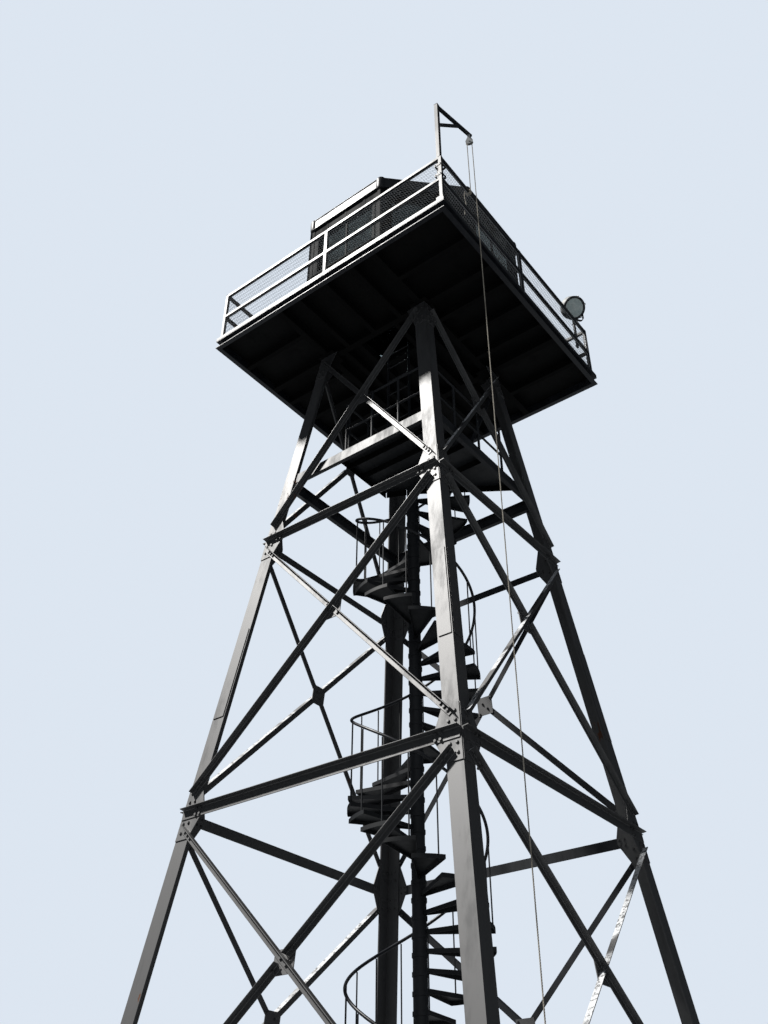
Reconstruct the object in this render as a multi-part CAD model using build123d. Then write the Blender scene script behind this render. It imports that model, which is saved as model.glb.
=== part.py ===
from build123d import *
from math import atan2, cos, degrees, hypot, pi, radians, sin, sqrt, tan
import os

# Guard tower: four battered angle-iron legs on concrete piers, X-braced faces, a spiral stair
# round a centre pole, a landing, and a square platform that carries an octagonal cabin.
# Millimetres, +Z up, origin on the ground at the tower's centre. The front is -Y, the right +X.

# Tower frame
underside_z = 13540
leg_half_top = 1038
batter = 0.1212
pier_top_z = 900
pier_half_top = 330
pier_half_foot = 430
base_plate_side = 420
base_plate_t = 25
cap_plate_side = 300
cap_plate_t = 20
leg_flange = 203
leg_t = 19
splice_z = (7000, 8270)
splice_w = 170
splice_inset = 15
plate_t = 10

# Bracing: panel points from the bottom up
panel_z = (1500, 5780, 9770)
top_point_z = 13330
brace_flange = 102
brace_t = 10
strut_depths = (152, 102)
brace_inset = 95
brace_end_gap = 210
cut_gap = 12
gusset_w = 330
gusset_below = 330
gusset_above = 330
gusset_nose = 80
gusset_cap_gap = 30
cross_plate = 360

# Landing
landing_z = 10950
ring_depth = 178
ring_flange = 64
ring_t = 11
landing_plate_t = 8
landing_left_x = -380
landing_left_back_y = -170
landing_edge_gap = 3
landing_joist_depth = 102
landing_joist_t = 8
landing_joist_y = (-1050, -750, -440)
guard_h = 1070
guard_mid_h = 560
guard_r = 19
guard_rail_r = 17
guard_line = 1160
guard_left_line = 355
guard_gap = 25
ladder_half_w = 200
ladder_stile_w = 60
ladder_stile_t = 12
rung_r = 10
rung_step = 300

# Platform
platform_half = 2286
edge_depth = 150
edge_flange = 75
edge_t = 10
floor_t = 10
girder_flange = 100
beam_web = 8
beam_flange_t = 10
joist_flange = 75
side_outrigger_y = (-1600, -530, 0, 530, 1600)
end_outrigger_x = (-530, 0, 530)
inner_joist_x = (-660, 0, 660)
hatch_half_w = 340
hatch_front_y = -880
hatch_back_y = -300
plate_gap = 1
mitre_gap = 0.7

# Railing
rail_tube = 50
post_inset = 65
top_rail_h = 1106
mid_rail_h = 586
toe_h = 60
toe_t = 8
mesh_t = 3
mesh_foot_gap = 50
mesh_head_gap = 16
mesh_bar = 12
mesh_across = 6
mesh_rows = 2

# Cabin
walkway = 500
wall_t = 90
roof_overhang = 25
roof_edge_z = 16070
fascia_h = 235
fascia_round = 60
roof_rise = 280
roof_t = 40
window_w = 1160
sill_h = 900
head_h = 1880
door_w = 760
door_h = 1960
door_t = 45
door_gap = 5
door_stop = 25
door_sill_h = 20
glass_t = 6

# Spiral stair, rising clockwise seen from above
pole_r = 84
pole_wall = 10
treads_per_turn = 16
stair_risers = 55
pole_above_landing = 1070
pole_foot_side = 300
pole_foot_t = 20
tread_outer_r = 862
tread_t = 6
tread_lip = 50
tread_overlap_deg = 3.5
landing_edge_deg = 34
rail_r = 835
rail_tube_r = 19
baluster_r = 9
baluster_back_deg = 5
rail_h = 1020
rail_sections = 3
rail_joint_gap = 1
curve_gap = 0.3

# Davit
mast_side = 60
mast_below_rail = 516
mast_above_rail = 1534
arm_side = 50
arm_heading_deg = 80
arm_reach = 785
brace_drop = 510
brace_reach = 520
brace_side = 40
clamps_below_rail = (406, 166)
clamp_h = 50
clamp_t = 6

# Pulley block and hoist rope
sheave_reach = 739
sheave_below_arm = 185
sheave_heading_deg = 24
rope_d = 14
sheave_pitch_r = 40
sheave_w = 20
cheek_t = 6
cheek_r = 58
cheek_gap = 2
axle_r = 10
hanger_w = 40
rope_foot_z = 2900
tie_turns = 4
shank_r = 15
shank_h = 70
hook_r = 38
hook_d = 20
hook_sweep_deg = 270

# Floodlight
lamp_y = 1950
stub_r = 24
stub_below_rail = 576
stub_above_rail = 144
spigot_r = 10
nut_r = 17
nut_h = 12
yoke_t = 8
yoke_w = 40
yoke_gap = 8
yoke_bend = 110
yoke_above_pivot = 24
lamp_r = 205
lens_seat_r = 180
lens_r = 176
lens_t = 6
lens_depth = 12
lamp_depth = 250
lamp_back_r = 120
lamp_shoulder = 105
pivot_above_stub = 285
pivot_pin_r = 8
pivot_head_r = 14
pivot_head_t = 8
pin_fit = 0.5
lamp_heading_deg = -30
lamp_down_deg = 46

# Worked out from the sizes above
deck_z = underside_z + edge_depth
floor_z = deck_z + floor_t
beam_mid_z = underside_z + edge_depth / 2
slope = sqrt(1 + batter * batter)
edge_web = platform_half - edge_flange
post_line = platform_half - post_inset
rail_inner = post_line - rail_tube / 2
top_rail_z = floor_z + top_rail_h
mid_rail_z = floor_z + mid_rail_h
wall_apothem = platform_half - walkway
wall_inner = wall_apothem - wall_t
wall_top_z = roof_edge_z - roof_t
roof_apothem = wall_apothem + roof_overhang
octagon = tan(radians(22.5))
rise = landing_z / stair_risers
pitch = treads_per_turn * rise
step_deg = 360 / treads_per_turn
mast_line = rail_inner - mast_side / 2
mast_top_z = top_rail_z + mast_above_rail
arm_z = mast_top_z - mast_side / 2
arm_low_z = arm_z - arm_side / 2
sheave_z = arm_low_z - sheave_below_arm
clamp_z = [top_rail_z - drop for drop in clamps_below_rail]
stub_foot_z = top_rail_z - stub_below_rail
stub_top_z = top_rail_z + stub_above_rail
above_all = 2 * roof_edge_z


def half_width(z):
    """Distance from the tower's axis to the outer face of the legs at a height."""
    return leg_half_top + batter * (underside_z - z)


def box(x0, x1, y0, y1, z0, z1):
    """A block between two corners."""
    centre = ((x0 + x1) / 2, (y0 + y1) / 2, (z0 + z1) / 2)
    return Pos(*centre) * Box(x1 - x0, y1 - y0, z1 - z0)


def prism(points, plane, length):
    """A straight bar: an outline drawn on a plane and drawn out along its normal."""
    outline = plane * make_face(Polyline(*points, close=True))
    return extrude(outline, amount=length)


def turned(shape, quarter):
    """A shape turned by quarter turns about the tower's axis."""
    return Rot(0, 0, 90 * quarter) * shape


def save(name, shapes):
    """Write one node from one solid or from several that don't touch."""
    shapes = shapes if isinstance(shapes, list) else [shapes]
    solids = [solid for shape in shapes for solid in shape.solids()]
    shape = solids[0] if len(solids) == 1 else Compound(children=solids)
    shape.label = name
    export_step(shape, f"parts/{name}.step")
    return shape


# Faces of the tower

# Drawn on the front face's battered plane: X across, Y up the slope, Z outwards.
face_plane = Plane(
    origin=(0, -half_width(0), 0), x_dir=(1, 0, 0), z_dir=(0, -1, batter)
)


def on_face(x, z, out=0):
    """A point of the front face's plane at a distance across, a height and a layer outwards."""
    return face_plane.from_local_coords(Vector(x, z * slope, out))


def face_bar(start, end, flange, outstand, t, layer):
    """An angle bar on the front face with its outward flange along the upper edge."""
    p = on_face(start[0], start[1])
    q = on_face(end[0], end[1])
    along = (q - p).normalized()
    up = face_plane.z_dir.cross(along)
    plane = Plane(origin=p, x_dir=up, z_dir=along)
    h = flange / 2
    outline = [
        (-h, layer),
        (h, layer),
        (h, layer + outstand),
        (h - t, layer + outstand),
        (h - t, layer + t),
        (-h, layer + t),
    ]
    return prism(outline, plane, (q - p).length)


def face_plate(points, layer, t):
    """A flat plate on the front face from corners given as distance across and height."""
    plane = face_plane.offset(layer)
    return prism([(x, z * slope) for x, z in points], plane, t)


def point_along(start, end, distance):
    """The point a distance from start towards end."""
    dx, dz = end[0] - start[0], end[1] - start[1]
    share = distance / hypot(dx, dz)
    return (start[0] + share * dx, start[1] + share * dz)


def crossing(a, b, c, d):
    """Where the line from a to b crosses the line from c to d."""
    r = (b[0] - a[0], b[1] - a[1])
    s = (d[0] - c[0], d[1] - c[1])
    share = ((c[0] - a[0]) * s[1] - (c[1] - a[1]) * s[0]) / (r[0] * s[1] - r[1] * s[0])
    return (a[0] + share * r[0], a[1] + share * r[1])


def panel_corners(low_z, high_z):
    """Ends of the diagonals of one panel: low left, low right, high left, high right."""
    low_x = half_width(low_z) - brace_inset
    high_x = half_width(high_z) - brace_inset
    return (-low_x, low_z), (low_x, low_z), (-high_x, high_z), (high_x, high_z)


def panel_braces(low_z, high_z, through_falls_right):
    """A panel's through diagonal and the two halves of the one that is cut at it."""
    low_left, low_right, high_left, high_right = panel_corners(low_z, high_z)
    falling = (high_left, low_right)
    rising = (high_right, low_left)
    through, cut = (falling, rising) if through_falls_right else (rising, falling)
    centre = crossing(*through, *cut)
    turn = 2 * atan2(high_z - low_z, high_right[0] + low_right[0])
    clear = (brace_flange / 2) * (1 + abs(cos(turn))) / abs(sin(turn)) + cut_gap
    bars = [face_bar(*sorted(through), brace_flange, brace_flange, brace_t, plate_t)]
    for end in cut:
        near = point_along(centre, end, clear)
        bars.append(face_bar(*sorted((near, end)), brace_flange, brace_flange, brace_t, plate_t))
    half = cross_plate / 2
    corners = [point_along(centre, end, half) for end in (low_left, low_right, high_right, high_left)]
    return bars, face_plate(corners, 0, plate_t)


def face_struts():
    """The level angle bars of the front face at the two upper panel points."""
    bars = []
    for z, depth in zip(panel_z[1:], strut_depths):
        x = half_width(z + depth / 2)
        bars.append(face_bar((-x, z), (x, z), depth, brace_flange, brace_t, plate_t))
    return bars


def face_gussets():
    """Gusset plates on both legs of the front face at every panel point."""
    plates = []
    for z in panel_z:
        low = z - gusset_below
        high = z + gusset_above
        if z == panel_z[0]:
            low = z - leg_flange / 2
        for side in (-1, 1):
            points = [
                (side * half_width(low), low),
                (side * (half_width(low) - leg_flange), low),
                (side * (half_width(z) - gusset_w), z - gusset_nose / 2),
                (side * (half_width(z) - gusset_w), z + gusset_nose / 2),
                (side * (half_width(high) - leg_flange), high),
                (side * half_width(high), high),
            ]
            plates.append(face_plate(points, 0, plate_t))
    low = top_point_z - gusset_below
    high = underside_z - cap_plate_t - gusset_cap_gap
    for side in (-1, 1):
        points = [
            (side * half_width(low), low),
            (side * (half_width(low) - leg_flange), low),
            (side * (half_width(high) - gusset_w), high),
            (side * half_width(high), high),
        ]
        plates.append(face_plate(points, 0, plate_t))
    return plates


def build_faces():
    """Bracing of each face and all gusset, crossing and splice plates."""
    levels = [
        (panel_z[0] + brace_end_gap, panel_z[1] - brace_end_gap, True),
        (panel_z[1] + brace_end_gap, panel_z[2] - brace_end_gap, False),
        (panel_z[2] + brace_end_gap, top_point_z, False),
    ]
    bars = face_struts()
    plates = face_gussets()
    for low, high, falls_right in levels:
        braces, plate = panel_braces(low, high, falls_right)
        bars += braces
        plates.append(plate)
    splices = []
    for side in (-1, 1):
        outer = [(side * (half_width(z) - splice_inset), z) for z in splice_z]
        inner = [(side * (half_width(z) - splice_inset - splice_w), z) for z in splice_z]
        splices.append(face_plate([outer[0], inner[0], inner[1], outer[1]], 0, plate_t))
    for quarter, name in enumerate(("front", "right", "back", "left")):
        save(f"{name}_bracing", [turned(bar, quarter) for bar in bars])
    save("gusset_plates", [turned(plate, q) for q in range(4) for plate in plates])
    save("splice_plates", [turned(plate, q) for q in range(4) for plate in splices])


# Legs and footings


def leg(corner_name, quarter):
    """One leg: an equal angle with its heel outwards, drawn up along the batter."""
    foot_z = pier_top_z + base_plate_t
    top_z = underside_z - cap_plate_t
    w = half_width(foot_z)
    outline = [
        (w, -w),
        (w, -w + leg_flange),
        (w - leg_t, -w + leg_flange),
        (w - leg_t, -w + leg_t),
        (w - leg_flange, -w + leg_t),
        (w - leg_flange, -w),
    ]
    profile = Plane.XY.offset(foot_z) * make_face(Polyline(*outline, close=True))
    lean = Vector(-batter, batter, 1)
    length = (top_z - foot_z) * lean.length
    save(corner_name, turned(extrude(profile, amount=length, dir=lean), quarter))


def build_legs():
    """Legs, base plates, cap plates and the concrete piers."""
    for quarter, name in enumerate(("front_right", "back_right", "back_left", "front_left")):
        leg(f"{name}_leg", quarter)
    w = half_width(pier_top_z + base_plate_t) - leg_flange / 2
    top_w = half_width(underside_z - cap_plate_t) - leg_flange / 2
    b = base_plate_side / 2
    c = cap_plate_side / 2
    base = box(w - b, w + b, -w - b, -w + b, pier_top_z, pier_top_z + base_plate_t)
    cap = box(top_w - c, top_w + c, -top_w - c, -top_w + c, underside_z - cap_plate_t, underside_z)
    foot = Pos(w, -w, 0) * Rectangle(2 * pier_half_foot, 2 * pier_half_foot)
    head = Pos(w, -w, pier_top_z) * Rectangle(2 * pier_half_top, 2 * pier_half_top)
    pier = loft([foot, head])
    save("base_plates", [turned(base, q) for q in range(4)])
    save("cap_plates", [turned(cap, q) for q in range(4)])
    save("concrete_piers", [turned(pier, q) for q in range(4)])


# Landing


def vertical_plane(x, y, heading_deg):
    """An upright plane: X along a heading, Y up."""
    along = (cos(radians(heading_deg)), sin(radians(heading_deg)), 0)
    across = (sin(radians(heading_deg)), -cos(radians(heading_deg)), 0)
    return Plane(origin=(x, y, 0), x_dir=along, z_dir=across)


def upright_bar(x, y, heading_deg, length, low_z, high_z, t):
    """A flat bar on edge that starts at a point and runs along a heading."""
    outline = [(0, low_z), (length, low_z), (length, high_z), (0, high_z)]
    return prism(outline, vertical_plane(x, y, heading_deg).offset(-t / 2), t)


def landing_ring():
    """Channels inside the legs' flanges, each running past the next one's end."""
    high = landing_z - landing_plate_t
    low = high - ring_depth
    inner = leg_t + ring_flange
    web = leg_t + ring_t
    section = [
        (leg_t, low),
        (inner, low),
        (inner, low + ring_t),
        (web, low + ring_t),
        (web, high - ring_t),
        (inner, high - ring_t),
        (inner, high),
        (leg_t, high),
    ]
    x0 = -half_width(high) + leg_t + plate_gap
    x1 = half_width(high) - inner - 2 * plate_gap
    plane = Plane(origin=(x0, 0, 0), x_dir=(0, 1, 0), z_dir=(1, 0, 0))
    channel = prism([(d - half_width(z), z) for d, z in section], plane, x1 - x0)
    return [turned(channel, q) for q in range(4)]


def landing_edges():
    """Plan outline of the landing floor; its last corner but one is the tower's axis."""
    reach = half_width(landing_z) - leg_t - landing_edge_gap
    arrival_y = reach * tan(radians(landing_edge_deg))
    return [
        (landing_left_x, -reach),
        (reach, -reach),
        (reach, arrival_y),
        (0, 0),
        (landing_left_x, landing_left_back_y),
    ]


def landing_joists():
    """Flat bars on edge under the floor, cut to fit between the ring and one another."""
    high = landing_z - landing_plate_t
    low = high - landing_joist_depth
    t = landing_joist_t
    ring = half_width(high) - leg_t - ring_flange - plate_gap
    left = landing_left_x
    back_deg = degrees(atan2(landing_left_back_y, landing_left_x))
    clear = pole_r + plate_gap
    bars = [box(left, left + t, -ring, landing_left_back_y, low, high)]
    for y in landing_joist_y:
        bars.append(box(left + t + plate_gap, ring, y, y + t, low, high))
    back_length = hypot(left + 3 * t, landing_left_back_y) - clear
    back = (clear * cos(radians(back_deg)), clear * sin(radians(back_deg)) - t)
    bars.append(upright_bar(*back, back_deg, back_length, low, high, t))
    edge = radians(landing_edge_deg)
    start = (clear * cos(edge) + t * sin(edge), clear * sin(edge) - t * cos(edge))
    length = (ring - start[0]) / cos(edge) - t
    bars.append(upright_bar(*start, landing_edge_deg, length, low, high, t))
    bars.append(box(clear, ring, -t / 2, t / 2, low, high))
    return bars


def tube_between(start, end, r):
    """A round bar between two points."""
    a, b = Vector(*start), Vector(*end)
    return Plane(origin=a, z_dir=(b - a).normalized()) * Cylinder(
        r, (b - a).length, align=(Align.CENTER, Align.CENTER, Align.MIN)
    )


def guard_run(start, end, posts):
    """A guard rail between two points of the landing: posts and two rails in one piece."""
    heights = (guard_mid_h, guard_h - guard_r)
    run = None
    for i in range(posts):
        share = i / (posts - 1)
        x = start[0] + share * (end[0] - start[0])
        y = start[1] + share * (end[1] - start[1])
        post = tube_between((x, y, landing_z), (x, y, landing_z + guard_h), guard_r)
        run = post if run is None else run + post
    for h in heights:
        run += tube_between((*start, landing_z + h), (*end, landing_z + h), guard_rail_r)
    return run


def build_landing():
    """Ring, joists, floor, guard rail and the ladder to the platform's hatch."""
    floor = prism(landing_edges(), Plane.XY.offset(landing_z - landing_plate_t), landing_plate_t)
    floor -= Pos(0, 0, landing_z) * Cylinder(pole_r, 4 * landing_plate_t)
    g, left = guard_line, -guard_left_line
    arrival_y = g * tan(radians(landing_edge_deg)) - guard_gap - guard_r
    apart = 2 * guard_r + guard_gap
    back_y = landing_left_back_y - guard_gap
    runs = [
        guard_run((left, -g + apart), (left, back_y), 3),
        guard_run((left, -g), (g - apart, -g), 4),
        guard_run((g, -g), (g, arrival_y), 4),
    ]
    save("landing_ring", landing_ring())
    save("landing_joists", landing_joists())
    save("landing_floor", floor)
    save("landing_guard_rail", runs)
    build_ladder()


def build_ladder():
    """Two flat stiles with round rungs, from the landing to the hatch's back edge."""
    y1 = hatch_back_y
    y0 = y1 - ladder_stile_w
    w, t = ladder_half_w, ladder_stile_t
    ladder = box(-w - t, -w, y0, y1, landing_z, floor_z) + box(w, w + t, y0, y1, landing_z, floor_z)
    y = (y0 + y1) / 2
    for i in range(1, int((floor_z - landing_z) / rung_step) + 1):
        z = landing_z + i * rung_step
        ladder += tube_between((-w, y, z), (w, y, z), rung_r)
    save("hatch_ladder", ladder)


# Platform


def i_section(flange):
    """Corner points of a beam of the platform's depth, centred on its middle."""
    h, f, w = edge_depth / 2, flange / 2, beam_web / 2
    e = h - beam_flange_t
    half = [(f, -h), (f, -e), (w, -e), (w, e), (f, e), (f, h)]
    return half + [(-x, y) for x, y in reversed(half)]


def beam_along_y(x, y0, y1, flange):
    """An I-beam under the floor, parallel to Y."""
    plane = Plane(origin=(x, y0, beam_mid_z), x_dir=(1, 0, 0), z_dir=(0, 1, 0))
    return prism(i_section(flange), plane, y1 - y0)


def beam_along_x(y, x0, x1, flange):
    """An I-beam under the floor, parallel to X."""
    plane = Plane(origin=(x0, y, beam_mid_z), x_dir=(0, 1, 0), z_dir=(1, 0, 0))
    return prism(i_section(flange), plane, x1 - x0)


def mitred(shape):
    """The part of a front piece between the two diagonals of the plan."""
    far = 2 * platform_half
    corners = [(0, -mitre_gap), (far, -far - mitre_gap), (-far, -far - mitre_gap)]
    return shape & prism(corners, Plane.XY, above_all)


def build_platform():
    """Girders over the legs, joists, edge channels and the floor round the hatch."""
    line = half_width(underside_z - cap_plate_t) - leg_flange / 2
    near = line - girder_flange / 2
    far = line + girder_flange / 2
    girders = [beam_along_y(side * line, -edge_web, edge_web, girder_flange) for side in (-1, 1)]
    cross = []
    joists = []
    for side in (-1, 1):
        cross.append(beam_along_x(side * line, -near, near, girder_flange))
        for x0, x1 in ((-edge_web, -far), (far, edge_web)):
            cross.append(beam_along_x(side * line, x0, x1, girder_flange))
        for y in side_outrigger_y:
            x0, x1 = sorted((side * far, side * edge_web))
            joists.append(beam_along_x(y, x0, x1, joist_flange))
        for x in end_outrigger_x:
            y0, y1 = sorted((side * far, side * edge_web))
            joists.append(beam_along_y(x, y0, y1, joist_flange))
    trimmer = hatch_half_w + joist_flange / 2
    trimmer_y = hatch_back_y + joist_flange / 2
    for x in inner_joist_x:
        low = -near if x else trimmer_y + joist_flange / 2
        joists.append(beam_along_y(x, low, near, joist_flange))
    for side in (-1, 1):
        joists.append(beam_along_y(side * trimmer, -near, near, joist_flange))
    trimmers = [beam_along_x(trimmer_y, -hatch_half_w, hatch_half_w, joist_flange)]
    a, b, t = edge_web, platform_half, edge_t
    low, high = underside_z, deck_z
    section = [
        (-a, low),
        (-b, low),
        (-b, low + t),
        (-a - t, low + t),
        (-a - t, high - t),
        (-b, high - t),
        (-b, high),
        (-a, high),
    ]
    plane = Plane(origin=(-b, 0, 0), x_dir=(0, 1, 0), z_dir=(1, 0, 0))
    edge = mitred(prism(section, plane, 2 * b))
    g = plate_gap / 2
    plates = [
        box(-b, -hatch_half_w - g, -b, b, deck_z, floor_z),
        box(hatch_half_w + g, b, -b, b, deck_z, floor_z),
        box(-hatch_half_w + g, hatch_half_w - g, -b, hatch_front_y, deck_z, floor_z),
        box(-hatch_half_w + g, hatch_half_w - g, hatch_back_y, b, deck_z, floor_z),
    ]
    save("main_girders", girders)
    save("cross_girders", cross)
    save("platform_joists", joists)
    save("hatch_trimmer", trimmers)
    save("platform_edge_channels", [turned(edge, q) for q in range(4)])
    save("platform_floor", plates)


# Railing


def front_railing():
    """The front side's two posts and two rails as one piece, and its toe board."""
    p, h = post_line, rail_tube / 2
    high = top_rail_z + h
    frame = box(-p - h, -p + h, -p - h, -p + h, floor_z, high)
    frame += box(-h, h, -p - h, -p + h, floor_z, high)
    for z in (mid_rail_z, top_rail_z):
        frame += box(-p, p - h, -p - h, -p + h, z - h, z + h)
    b = platform_half
    toe = mitred(box(-b, b, -b, -b + toe_t, floor_z, floor_z + toe_h))
    return [frame, toe]


def mesh_sheet(x0, x1, low, high):
    """A thin sheet on the post line of the front side, opened into a plain grid of bars."""
    y, t = -post_line, mesh_t / 2
    sheet = box(x0, x1, y - t, y + t, low, high)
    pitch = (x1 - x0 - mesh_bar) / mesh_across
    step = (high - low - mesh_bar) / mesh_rows
    for column in range(mesh_across):
        left = x0 + mesh_bar + column * pitch
        for row in range(mesh_rows):
            foot = low + mesh_bar + row * step
            sheet -= box(left, left + pitch - mesh_bar, y - t, y + t, foot, foot + step - mesh_bar)
    return sheet


def front_mesh():
    """Four open sheets that stand for the wire mesh of the front side's four fields."""
    p, h = post_line, rail_tube / 2
    levels = (
        (floor_z + mesh_foot_gap, mid_rail_z - h),
        (mid_rail_z + h, top_rail_z - h - mesh_head_gap),
    )
    sheets = []
    for x0, x1 in ((-p + h, -h), (h, p - h)):
        for low, high in levels:
            sheets.append(mesh_sheet(x0, x1, low, high))
    return sheets


def clamp_block(z, t, h=clamp_h):
    """A block round the davit's mast and the corner post, t larger than them all round."""
    far = post_line + rail_tube / 2 + t
    near = mast_line - mast_side / 2 - t
    return box(near, far, -far, -near, z - h / 2, z + h / 2)


def build_railing():
    """Four railings and the mesh in them, notched where the davit's clamps pass."""
    for quarter, name in enumerate(("front", "right", "back", "left")):
        save(f"{name}_railing", [turned(piece, quarter) for piece in front_railing()])
    sheets = [turned(sheet, q) for q in range(4) for sheet in front_mesh()]
    for z in clamp_z:
        room = clamp_block(z, clamp_t + plate_gap)
        sheets = [sheet - room for sheet in sheets]
    save("railing_mesh", sheets)


# Cabin


def side_outline(near, far):
    """Plan outline of the octagon's front side between two distances from the axis."""
    n, f = near * octagon, far * octagon
    return [(-n, -near), (n, -near), (f, -far), (-f, -far)]


def wall():
    """One plain wall of the cabin, at the front."""
    plane = Plane.XY.offset(floor_z)
    return prism(side_outline(wall_inner, wall_apothem), plane, wall_top_z - floor_z)


def build_cabin():
    """Eight walls, seven windows, the door, the fascia boards and the roof."""
    names = ("front", "front_right", "right", "back_right", "back", "back_left", "left", "front_left")
    w = window_w / 2
    outside, inside = wall_apothem, wall_inner
    low, high = floor_z + sill_h, floor_z + head_h
    window = box(-w, w, -outside - 1, -inside + 1, low, high)
    mid = (outside + inside) / 2
    pane = box(-w, w, -mid - glass_t / 2, -mid + glass_t / 2, low, high)
    leaf_y = outside - door_t
    foot = floor_z + door_sill_h
    half_leaf = door_w / 2
    rebate = half_leaf + door_gap
    stop = rebate - door_stop
    head = foot + door_h + door_gap
    doorway = box(-rebate, rebate, -outside - 1, -leaf_y, foot, head)
    doorway += box(-stop, stop, -leaf_y, -inside + 1, foot, head - door_stop)
    panes = []
    for i, name in enumerate(names):
        place = Rot(0, 0, 45 * i)
        if name == "back":
            save("cabin_back_wall", place * (wall() - doorway))
            leaf = box(-half_leaf, half_leaf, -outside, -leaf_y, foot, head - door_gap)
            save("cabin_door", place * leaf)
        else:
            save(f"cabin_{name}_wall", place * (wall() - window))
            panes.append(place * pane)
    save("cabin_glass", panes)
    build_roof()


def build_roof():
    """Fascia boards round the wall heads and eight sloping roof panels over them."""
    corner = roof_apothem * octagon
    edge = [(-corner, -roof_apothem), (corner, -roof_apothem)]
    outline = [Vector(*p).rotate(Axis.Z, 45 * i) for i in range(8) for p in edge[:1]]
    plan = make_face(Polyline(*outline, close=True))
    plan = fillet(plan.vertices(), fascia_round)
    block = extrude(Plane.XY.offset(roof_edge_z - fascia_h) * plan, amount=fascia_h + roof_rise)
    sector = [(0, -mitre_gap), (platform_half * octagon, -platform_half - mitre_gap)]
    sector.append((-sector[1][0], sector[1][1]))
    block &= prism(sector, Plane.XY, above_all)
    low = roof_edge_z - fascia_h
    board = block & box(-corner, corner, -2 * roof_apothem, -wall_apothem, low, wall_top_z)
    inner_rise = roof_rise * wall_inner / roof_apothem
    section = [
        (-wall_inner, wall_top_z),
        (-roof_apothem, wall_top_z),
        (-roof_apothem, roof_edge_z),
        (0, roof_edge_z + roof_rise),
        (0, wall_top_z + inner_rise),
    ]
    plane = Plane(origin=(-corner, 0, 0), x_dir=(0, 1, 0), z_dir=(1, 0, 0))
    panel = block & prism(section, plane, 2 * corner)
    save("roof_fascia", [Rot(0, 0, 45 * i) * board for i in range(8)])
    save("cabin_roof", [Rot(0, 0, 45 * i) * panel for i in range(8)])


# Spiral stair


def polar(r, deg, z=0):
    """A point at a distance and a bearing from the tower's axis."""
    return (r * cos(radians(deg)), r * sin(radians(deg)), z)


def tread():
    """One tread, its front edge on +X and its top at zero: a plate with folded-down lips."""
    a, b = -tread_overlap_deg, step_deg
    middle = (a + b) / 2
    outline = [
        Line(polar(pole_r, a), polar(tread_outer_r, a)),
        ThreePointArc(polar(tread_outer_r, a), polar(tread_outer_r, middle), polar(tread_outer_r, b)),
        Line(polar(tread_outer_r, b), polar(pole_r, b)),
        ThreePointArc(polar(pole_r, b), polar(pole_r, middle), polar(pole_r, a)),
    ]
    plan = make_face(Wire(outline))
    inside = offset(plan, amount=-tread_t, kind=Kind.INTERSECTION)
    pan = extrude(Pos(0, 0, -tread_lip) * plan, amount=tread_lip)
    return pan - extrude(Pos(0, 0, -tread_lip) * inside, amount=tread_lip - tread_t)


def handrail_section(low_j, high_j):
    """Handrail from riser low_j up to riser high_j, both counted down from the landing."""
    gap_deg = degrees(rail_joint_gap / rail_r)
    turns = ((low_j - high_j) * step_deg - gap_deg) / 360
    helix = Helix(pitch, turns * pitch, rail_r, lefthand=True)
    start = helix @ 0
    circle = Plane(origin=start, z_dir=helix % 0) * Circle(rail_tube_r)
    tube = sweep(circle, path=helix, is_frenet=True)
    z = landing_z - low_j * rise + rail_h
    return Pos(0, 0, z) * Rot(0, 0, landing_edge_deg + low_j * step_deg) * tube


def build_stair():
    """Pole on its foot, treads, one baluster a tread and the handrail."""
    top = landing_z + pole_above_landing
    align = (Align.CENTER, Align.CENTER, Align.MIN)
    pole = Pos(0, 0, pole_foot_t) * Cylinder(pole_r, top - pole_foot_t, align=align)
    pole -= Cylinder(pole_r - pole_wall, top - pole_wall, align=align)
    s = pole_foot_side / 2
    save("stair_pole", pole)
    save("stair_pole_foot", box(-s, s, -s, s, 0, pole_foot_t))
    plain = tread()
    treads = []
    balusters = []
    drop = rise * baluster_back_deg / step_deg
    grade = pitch / (2 * pi * rail_r)
    below_rail = rail_h + drop - rail_tube_r * hypot(1, grade) - baluster_r * grade - curve_gap
    for j in range(1, stair_risers):
        z = landing_z - j * rise
        front = landing_edge_deg + (j - 1) * step_deg
        treads.append(Pos(0, 0, z) * Rot(0, 0, front) * plain)
        x, y, _ = polar(rail_r, front + step_deg - baluster_back_deg)
        balusters.append(Pos(x, y, z) * Cylinder(baluster_r, below_rail, align=align))
    steps = stair_risers - 1
    share = steps / rail_sections
    rails = [handrail_section((i + 1) * share, i * share) for i in range(rail_sections)]
    save("stair_treads", treads)
    save("stair_balusters", balusters)
    save("stair_handrail", rails)


# Davit, pulley block and hoist rope


def davit_point(reach, z):
    """A point above the davit's arm line at a reach from the mast."""
    a = radians(arm_heading_deg)
    return (mast_line + reach * cos(a), -mast_line + reach * sin(a), z)


def square_bar(start, end, side):
    """A square bar between two points, one pair of its faces upright."""
    a, b = Vector(*start), Vector(*end)
    along = (b - a).normalized()
    across = Vector(0, 0, 1).cross(along).normalized()
    plane = Plane(origin=a, x_dir=across, z_dir=along)
    h = side / 2
    return prism([(-h, -h), (h, -h), (h, h), (-h, h)], plane, (b - a).length)


def build_davit():
    """Mast with its arm and knee brace, and the clamps that hold it to the corner post."""
    h = mast_side / 2
    m = mast_line
    brace_z = arm_z - brace_drop
    davit = box(m - h, m + h, -m - h, -m + h, top_rail_z - mast_below_rail, mast_top_z)
    davit += square_bar(davit_point(0, arm_z), davit_point(arm_reach, arm_z), arm_side)
    davit += square_bar(davit_point(0, brace_z), davit_point(brace_reach, arm_z), brace_side)
    save("davit", davit)
    bands = [clamp_block(z, clamp_t) - clamp_block(z, 0, 2 * clamp_h) for z in clamp_z]
    save("davit_clamps", bands)


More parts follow.
